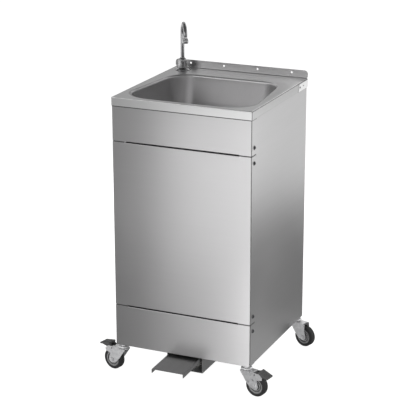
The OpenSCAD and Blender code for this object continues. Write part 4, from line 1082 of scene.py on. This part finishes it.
# ---------------------------------------------------------------- tanks
def build_tank(s, ny, name, node, material):
    bm = bmesh.new()
    w, d, h, cx, cy = 190.0, 330.0, 420.0, s * 130.0, 319.0
    rows = []
    # (inset, height) from the middle of the bottom to the shoulder
    side = [(16, 0.0), (9, 1.2), (4.5, 4.5), (1.3, 10), (0, 18)]
    z = 42.0
    while z < h - 60:
        side += [(0, z - 9), (0.6, z - 6), (3.6, z - 2.5), (4.0, z), (3.6, z + 2.5), (0.6, z + 6), (0, z + 9)]
        z += 66
    side += [(0, h - 40), (1.2, h - 26), (4.5, h - 15), (10, h - 7), (18, h - 2.2), (28, h)]
    for ins, zz in side:
        rows.append((w / 2 - ins, d / 2 - ins, max(28 - ins * 0.6, 12), zz))
    rings = [[(cx + x, cy + (y - BY), TANK_Z + zz) for x, y in rounded_rect(a, b, r, 8)] for a, b, r, zz in rows]
    prev = None
    for ring in rings:
        vs = [bm.verts.new(p) for p in ring]
        if prev:
            for i in range(len(vs)):
                j = (i + 1) % len(vs)
                bm.faces.new((prev[i], prev[j], vs[j], vs[i]))
        else:
            bm.faces.new(list(reversed(vs)))
        prev = vs
    bm.faces.new(prev)
    # threaded neck
    N = T(s * 120, ny, TANK_TOP)
    prof = [(32, -1.5), (29, 0.4), (27, 2.4), (27, 3.6)]
    for k in range(3):
        z = 6.2 + 4.4 * k
        prof += [(26.2, z - 1.4), (27.0, z - 0.5), (27.0, z + 0.5), (26.2, z + 1.4)]
    prof += [(26.2, 19.2), (25.6, 20), (23.4, 20), (23, 19.4), (23, -1.5)]
    lathe(bm, prof, 72, N, closed=True)
    # carrying handle, one bent bar
    pts = [(s * 120, cy - 1, TANK_TOP - 3), (s * 120, cy - 1, TANK_TOP + 10), (s * 120, cy - 1, TANK_TOP + 23), (s * 120, cy + 6, TANK_TOP + 32), (s * 120, cy + 22, TANK_TOP + 34), (s * 120, cy + 64, TANK_TOP + 34), (s * 120, cy + 106, TANK_TOP + 34), (s * 120, cy + 122, TANK_TOP + 32), (s * 120, cy + 129, TANK_TOP + 23), (s * 120, cy + 129, TANK_TOP + 10), (s * 120, cy + 129, TANK_TOP - 3)]
    q = route(pts, 8)
    sweep(bm, q, lambda i, f: 8.2 + 3.5 * max(0, 1 - min(i, len(q) - 1 - i) / 9.0) ** 2, 28, flat=(0.95, 1.38))
    return piece(bm, name, node, material, angle=50)


build_tank(-1, HY, "fresh_water_can", "fresh_tank", "tank")
build_tank(1, BY, "waste_water_can", "waste_tank", "waste_tank")


def build_cap(s, ny, hole, name, node, material):
    bm = bmesh.new()
    N = T(s * 120, ny, TANK_TOP + 4)
    prof = [(27.4, 0.2), (30.4, 0.2), (31.2, 1.0), (31.2, 1.6), (31.2, 16.0), (31.0, 17.2), (30.0, 19.0), (28.6, 19.9), (20.5, 20.0), (20.2, 19.4), (hole + 2, 19.4), (hole + 1.6, 20), (hole + 0.3, 20), (hole, 19.6), (hole, 16.4), (27.3, 16.2)]

    def ribs(k, a):
        return 0.9 * max(0.0, math.cos(24 * a)) ** 0.6 - 0.2 if 3 <= k <= 5 else 0.0
    lathe(bm, prof, 192, N, closed=True, wobble=ribs)
    return piece(bm, name, node, material, angle=38)


build_cap(-1, HY, 7.6, "fresh_can_cap", "fresh_tank_cap", "blue")
build_cap(1, BY, 17.4, "waste_can_cap", "waste_tank_cap", "dark")


# ---------------------------------------------------------------- casters
def build_caster(i):
    nm = NAMES[i]
    C = T(STEMS[i][0], STEMS[i][1], 0) @ R(YAW[i], "Z")
    W = C @ T(41, 0, 37.5) @ R(90, "X")
    refine(f"caster_{nm}_fork", f"caster_{nm}_fork_pressing", "zinc", 0.7, 3)
    refine(f"caster_{nm}_axle", f"caster_{nm}_axle_bolt", "zinc", 0.4)
    if i < 2:
        refine(f"caster_{nm}_brake", f"caster_{nm}_brake_pedal", "brake", 0.9, 3)
    bm = bmesh.new()
    half = [(4.1, 13.0), (9.6, 13.1), (10.1, 12.6), (10.1, 7.0), (11.0, 5.0), (13.6, 4.6), (14.2, 5.2), (14.4, 8.2), (15.0, 8.7), (16.4, 8.7), (17.0, 8.2), (17.2, 5.4), (18.0, 4.6), (20.6, 4.8), (21.6, 6.0), (22.0, 9.6), (22.6, 10.6), (24.0, 10.9), (26.2, 10.8), (27.0, 10.2)]
    lathe(bm, half + [(r, -z) for r, z in reversed(half)], 96, W, closed=True)
    WI = W.inverted()

    # faces on the hub's ridges that get the painted highlight
    def ridge_highlight_paint(c, q):
        p = WI @ c
        r = math.hypot(p.x, p.y)
        return abs(p.z) > 7.9 and (14.3 < r < 17.1 or 22.2 < r < 24.6)
    piece(bm, f"caster_{nm}_hub", f"caster_{nm}_rim", "wheel", extra=[("ridge_highlight_paint", ridge_highlight_paint)])
    bm = bmesh.new()
    tread = [(27.05, 11.3), (27.6, 11.6), (30.5, 11.75), (31.0, 11.35), (31.5, 11.75), (33.6, 11.4)]
    tread += [(33.4 + 4.1 * math.sin(math.radians(t)), 7.6 + 3.9 * math.cos(math.radians(t))) for t in (20, 38, 55, 72, 90)]
    tread += [(37.5, 3.5), (37.5, 0)]
    lathe(bm, tread + [(r, -z) for r, z in reversed(tread[:-1])], 128, W, closed=True)
    piece(bm, f"caster_{nm}_tread", f"caster_{nm}_tyre", "tyre")


for i in range(4):
    build_caster(i)


def build_stems():
    bm = bmesh.new()
    for x, y in STEMS:
        M = T(x, y, 0)
        prof = [(0, 80.6), (8.1, 80.6), (9.5, 82), (9.5, 83.95), (6, 83.95), (6, 87.1), (16.4, 87.1), (17.2, 87.5), (18.8, 89.2), (19.2, 90.4), (19.2, 92.6), (18.6, 94.0), (16.8, 96.2), (15.4, 96.9), (13.2, 97.2), (13.0, 98.0), (13.0, 102.4), (12.4, 103.2), (5.0, 103.3)]
        z = 104.0
        while z < 120:
            prof += [(5.0, z), (4.6, z + 0.5)]
            z += 1.0
        prof += [(4.6, 122), (4.0, 123), (0, 123)]
        lathe(bm, prof, 72, M)
    piece(bm, "caster_kingpins", "caster_stems", "zinc")


build_stems()
refine("caster_nuts", "caster_flange_nuts", "zinc", 0.5)

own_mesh(spring)


# ---------------------------------------------------------------- anything not replaced keeps its CAD mesh with a made finish
SLOT_MAT = {"stainless": "inner", "pressed_bowl": "bowl", "chrome": "chrome", "zinc": "zinc", "dark_screw": "screw", "pedal_steel": "pedal", "tyre_rubber": "tyre", "wheel_plastic": "wheel", "brake_plastic": "brake", "white_plastic": "white", "tank_plastic": "tank", "waste_tank_plastic": "waste_tank", "blue_plastic": "blue", "dark_plastic": "dark", "hose_plastic": "hose", "waste_hose_plastic": "waste_hose", "brass": "brass", "seal_rubber": "seal"}
for m in frame["record"].get("materials", []):
    for nme in m.get("nodes", []):
        if nme in NODES:
            NODES[nme].data.materials.clear()
            NODES[nme].data.materials.append(MAT[SLOT_MAT.get(m["slot"], "inner")])


# ---------------------------------------------------------------- floor, light and camera
def build_stage():
    me = bpy.data.meshes.new("floor")
    s = 40.0
    me.from_pydata([(-s, -s, Z0 - 0.0004), (s, -s, Z0 - 0.0004), (s, s, Z0 - 0.0004), (-s, s, Z0 - 0.0004)], [], [(0, 1, 2, 3)])
    floor = bpy.data.objects.new("floor", me)
    bpy.context.scene.collection.objects.link(floor)
    m, n, links, b = new_material("floor_paint")
    tc = n.new("ShaderNodeTexCoord").outputs["Object"]
    links.new(mix_rgb(n, links, noise(n, links, tc, 1.5, 4.0), (0.40, 0.40, 0.40), (0.42, 0.42, 0.42)), b.inputs["Base Color"])
    b.inputs["Roughness"].default_value = 0.9
    b.inputs["Specular IOR Level"].default_value = 0.1
    b.inputs["Emission Color"].default_value = (1, 1, 1, 1)
    # a pale sweep that glows: the glow dims towards the middle, a faint painted shadow close to the wheels, evenly
    # white further off
    reach = n.new("ShaderNodeVectorMath")
    reach.operation = "LENGTH"
    links.new(tc, reach.inputs[0])
    links.new(remap(n, links, reach.outputs["Value"], 0.35, 0.9, 0.93, 1.02), b.inputs["Emission Strength"])
    m.cycles.emission_sampling = "NONE"
    me.materials.append(m)
    floor.visible_glossy = False
    floor.visible_shadow = False
    floor.visible_diffuse = False


build_stage()


def area(name, loc, target, sx, sy, power, shape="RECTANGLE"):
    d = bpy.data.lights.new(name, "AREA")
    d.shape = shape
    d.size, d.size_y = sx, sy
    d.energy = power
    o = bpy.data.objects.new(name, d)
    o.location = loc
    o.rotation_euler = (Vector(target) - Vector(loc)).to_track_quat("-Z", "Y").to_euler()
    o.visible_camera = False
    bpy.context.scene.collection.objects.link(o)
    return o


WORLD = 0.150
LIGHTS = [
    ("ring_lo_60", (2.08, -1.20, -1.00), (0.00, 0.00, 0.55), 1.20, 1.20, 3.00),
    ("ring_lo_90", (2.40, -0.00, -1.00), (0.00, 0.00, 0.55), 1.20, 1.20, 3.00),
    ("ring_lo_120", (2.08, 1.20, -1.00), (0.00, 0.00, 0.55), 1.20, 1.20, 3.00),
    ("ring_lo_150", (1.20, 2.08, -1.00), (0.00, 0.00, 0.55), 1.20, 1.20, 0.34),
    ("ring_lo_210", (-1.20, 2.08, -1.00), (0.00, 0.00, 0.55), 1.20, 1.20, 3.00),
    ("ring_lo_240", (-2.08, 1.20, -1.00), (0.00, 0.00, 0.55), 1.20, 1.20, 3.00),
    ("ring_lo_270", (-2.40, 0.00, -1.00), (0.00, 0.00, 0.55), 1.20, 1.20, 3.00),
    ("ring_lo_300", (-2.08, -1.20, -1.00), (0.00, 0.00, 0.55), 1.20, 1.20, 3.00),
    ("ring_mi_0", (0.00, -2.40, 0.50), (0.00, 0.00, 0.55), 1.20, 1.20, 5.58),
    ("ring_mi_30", (1.20, -2.08, 0.50), (0.00, 0.00, 0.55), 1.20, 1.20, 4.50),
    ("ring_mi_60", (2.08, -1.20, 0.50), (0.00, 0.00, 0.55), 1.20, 1.20, 4.50),
    ("ring_mi_90", (2.40, -0.00, 0.50), (0.00, 0.00, 0.55), 1.20, 1.20, 4.50),
    ("ring_mi_120", (2.08, 1.20, 0.50), (0.00, 0.00, 0.55), 1.20, 1.20, 4.50),
    ("ring_mi_150", (1.20, 2.08, 0.50), (0.00, 0.00, 0.55), 1.20, 1.20, 3.08),
    ("ring_mi_180", (0.00, 2.40, 0.50), (0.00, 0.00, 0.55), 1.20, 1.20, 6.80),
    ("ring_mi_210", (-1.20, 2.08, 0.50), (0.00, 0.00, 0.55), 1.20, 1.20, 4.50),
    ("ring_mi_240", (-2.08, 1.20, 0.50), (0.00, 0.00, 0.55), 1.20, 1.20, 4.50),
    ("ring_mi_270", (-2.40, 0.00, 0.50), (0.00, 0.00, 0.55), 1.20, 1.20, 4.50),
    ("ring_mi_300", (-2.08, -1.20, 0.50), (0.00, 0.00, 0.55), 1.20, 1.20, 5.62),
    ("ring_mi_330", (-1.20, -2.08, 0.50), (0.00, 0.00, 0.55), 1.20, 1.20, 0.48),
    ("ring_hi_0", (0.00, -2.40, 2.00), (0.00, 0.00, 0.55), 1.20, 1.20, 1.20),
    ("ring_hi_30", (1.20, -2.08, 2.00), (0.00, 0.00, 0.55), 1.20, 1.20, 1.20),
    ("ring_hi_60", (2.08, -1.20, 2.00), (0.00, 0.00, 0.55), 1.20, 1.20, 1.20),
    ("ring_hi_90", (2.40, -0.00, 2.00), (0.00, 0.00, 0.55), 1.20, 1.20, 3.00),
    ("ring_hi_120", (2.08, 1.20, 2.00), (0.00, 0.00, 0.55), 1.20, 1.20, 3.00),
    ("ring_hi_150", (1.20, 2.08, 2.00), (0.00, 0.00, 0.55), 1.20, 1.20, 3.00),
    ("ring_hi_180", (0.00, 2.40, 2.00), (0.00, 0.00, 0.55), 1.20, 1.20, 5.96),
    ("ring_hi_210", (-1.20, 2.08, 2.00), (0.00, 0.00, 0.55), 1.20, 1.20, 2.32),
    ("ring_hi_240", (-2.08, 1.20, 2.00), (0.00, 0.00, 0.55), 1.20, 1.20, 3.00),
    ("ring_hi_270", (-2.40, 0.00, 2.00), (0.00, 0.00, 0.55), 1.20, 1.20, 3.00),
    ("ring_hi_300", (-2.08, -1.20, 2.00), (0.00, 0.00, 0.55), 1.20, 1.20, 3.00),
    ("ring_hi_330", (-1.20, -2.08, 2.00), (0.00, 0.00, 0.55), 1.20, 1.20, 7.05),
    ("nf_m0p5_m0p45", (-0.50, -1.50, -0.45), (-0.50, 0.00, -0.45), 0.40, 0.80, 0.45),
    ("nf_m0p5_0p35", (-0.50, -1.50, 0.35), (-0.50, 0.00, 0.35), 0.40, 0.80, 1.00),
    ("nf_m0p1_m0p45", (-0.10, -1.50, -0.45), (-0.10, 0.00, -0.45), 0.40, 0.80, 2.12),
    ("nf_m0p1_0p35", (-0.10, -1.50, 0.35), (-0.10, 0.00, 0.35), 0.40, 0.80, 0.71),
    ("ns_0_m0p5", (0.65, 1.00, -0.50), (0.25, 0.00, -0.50), 0.60, 0.50, 0.19),
    ("ns_1_0p5", (1.15, 0.80, 0.50), (0.25, 0.00, 0.50), 0.60, 0.50, 1.56),
]
LIGHTS += [
    ("low_right", (0.45, -0.75, 0.14), (0.0, -0.16, 0.07), 0.30, 0.20, 0.5),
]
for nme, loc, tgt, sx, sy, pw in LIGHTS:
    area(nme, loc, tgt, sx, sy, pw)

world = bpy.data.worlds.new("studio")
bpy.context.scene.world = world
world.use_nodes = True
wn, wlk = world.node_tree.nodes, world.node_tree.links
wn.clear()
wo = wn.new("ShaderNodeOutputWorld")
wbg = wn.new("ShaderNodeBackground")
wbg.inputs["Color"].default_value = (1, 1, 1, 1)
wbg.inputs["Strength"].default_value = WORLD
wsee = wn.new("ShaderNodeBackground")
wsee.inputs["Color"].default_value = (1, 1, 1, 1)
wsee.inputs["Strength"].default_value = 1.05
wpath = wn.new("ShaderNodeLightPath")
wmix = wn.new("ShaderNodeMixShader")
wlk.new(wpath.outputs["Is Camera Ray"], wmix.inputs[0])
wlk.new(wbg.outputs[0], wmix.inputs[1])
wlk.new(wsee.outputs[0], wmix.inputs[2])
wlk.new(wmix.outputs[0], wo.inputs[0])

cam_data = bpy.data.cameras.new("camera")
cam = bpy.data.objects.new("camera", cam_data)
bpy.context.scene.collection.objects.link(cam)
cam_data.sensor_width = 36.0
cam_data.lens = 132.07
cam.location = TO_ROW @ Vector((2011.05, -4374.42, 2179.74))
cam.rotation_euler = (math.radians(90 - 17.9474), 0, math.radians(23.5535))
cam_data.clip_start, cam_data.clip_end = 0.05, 200
bpy.context.scene.camera = cam
bpy.context.scene.view_settings.view_transform = "Standard"
bpy.context.scene.view_settings.look = "None"
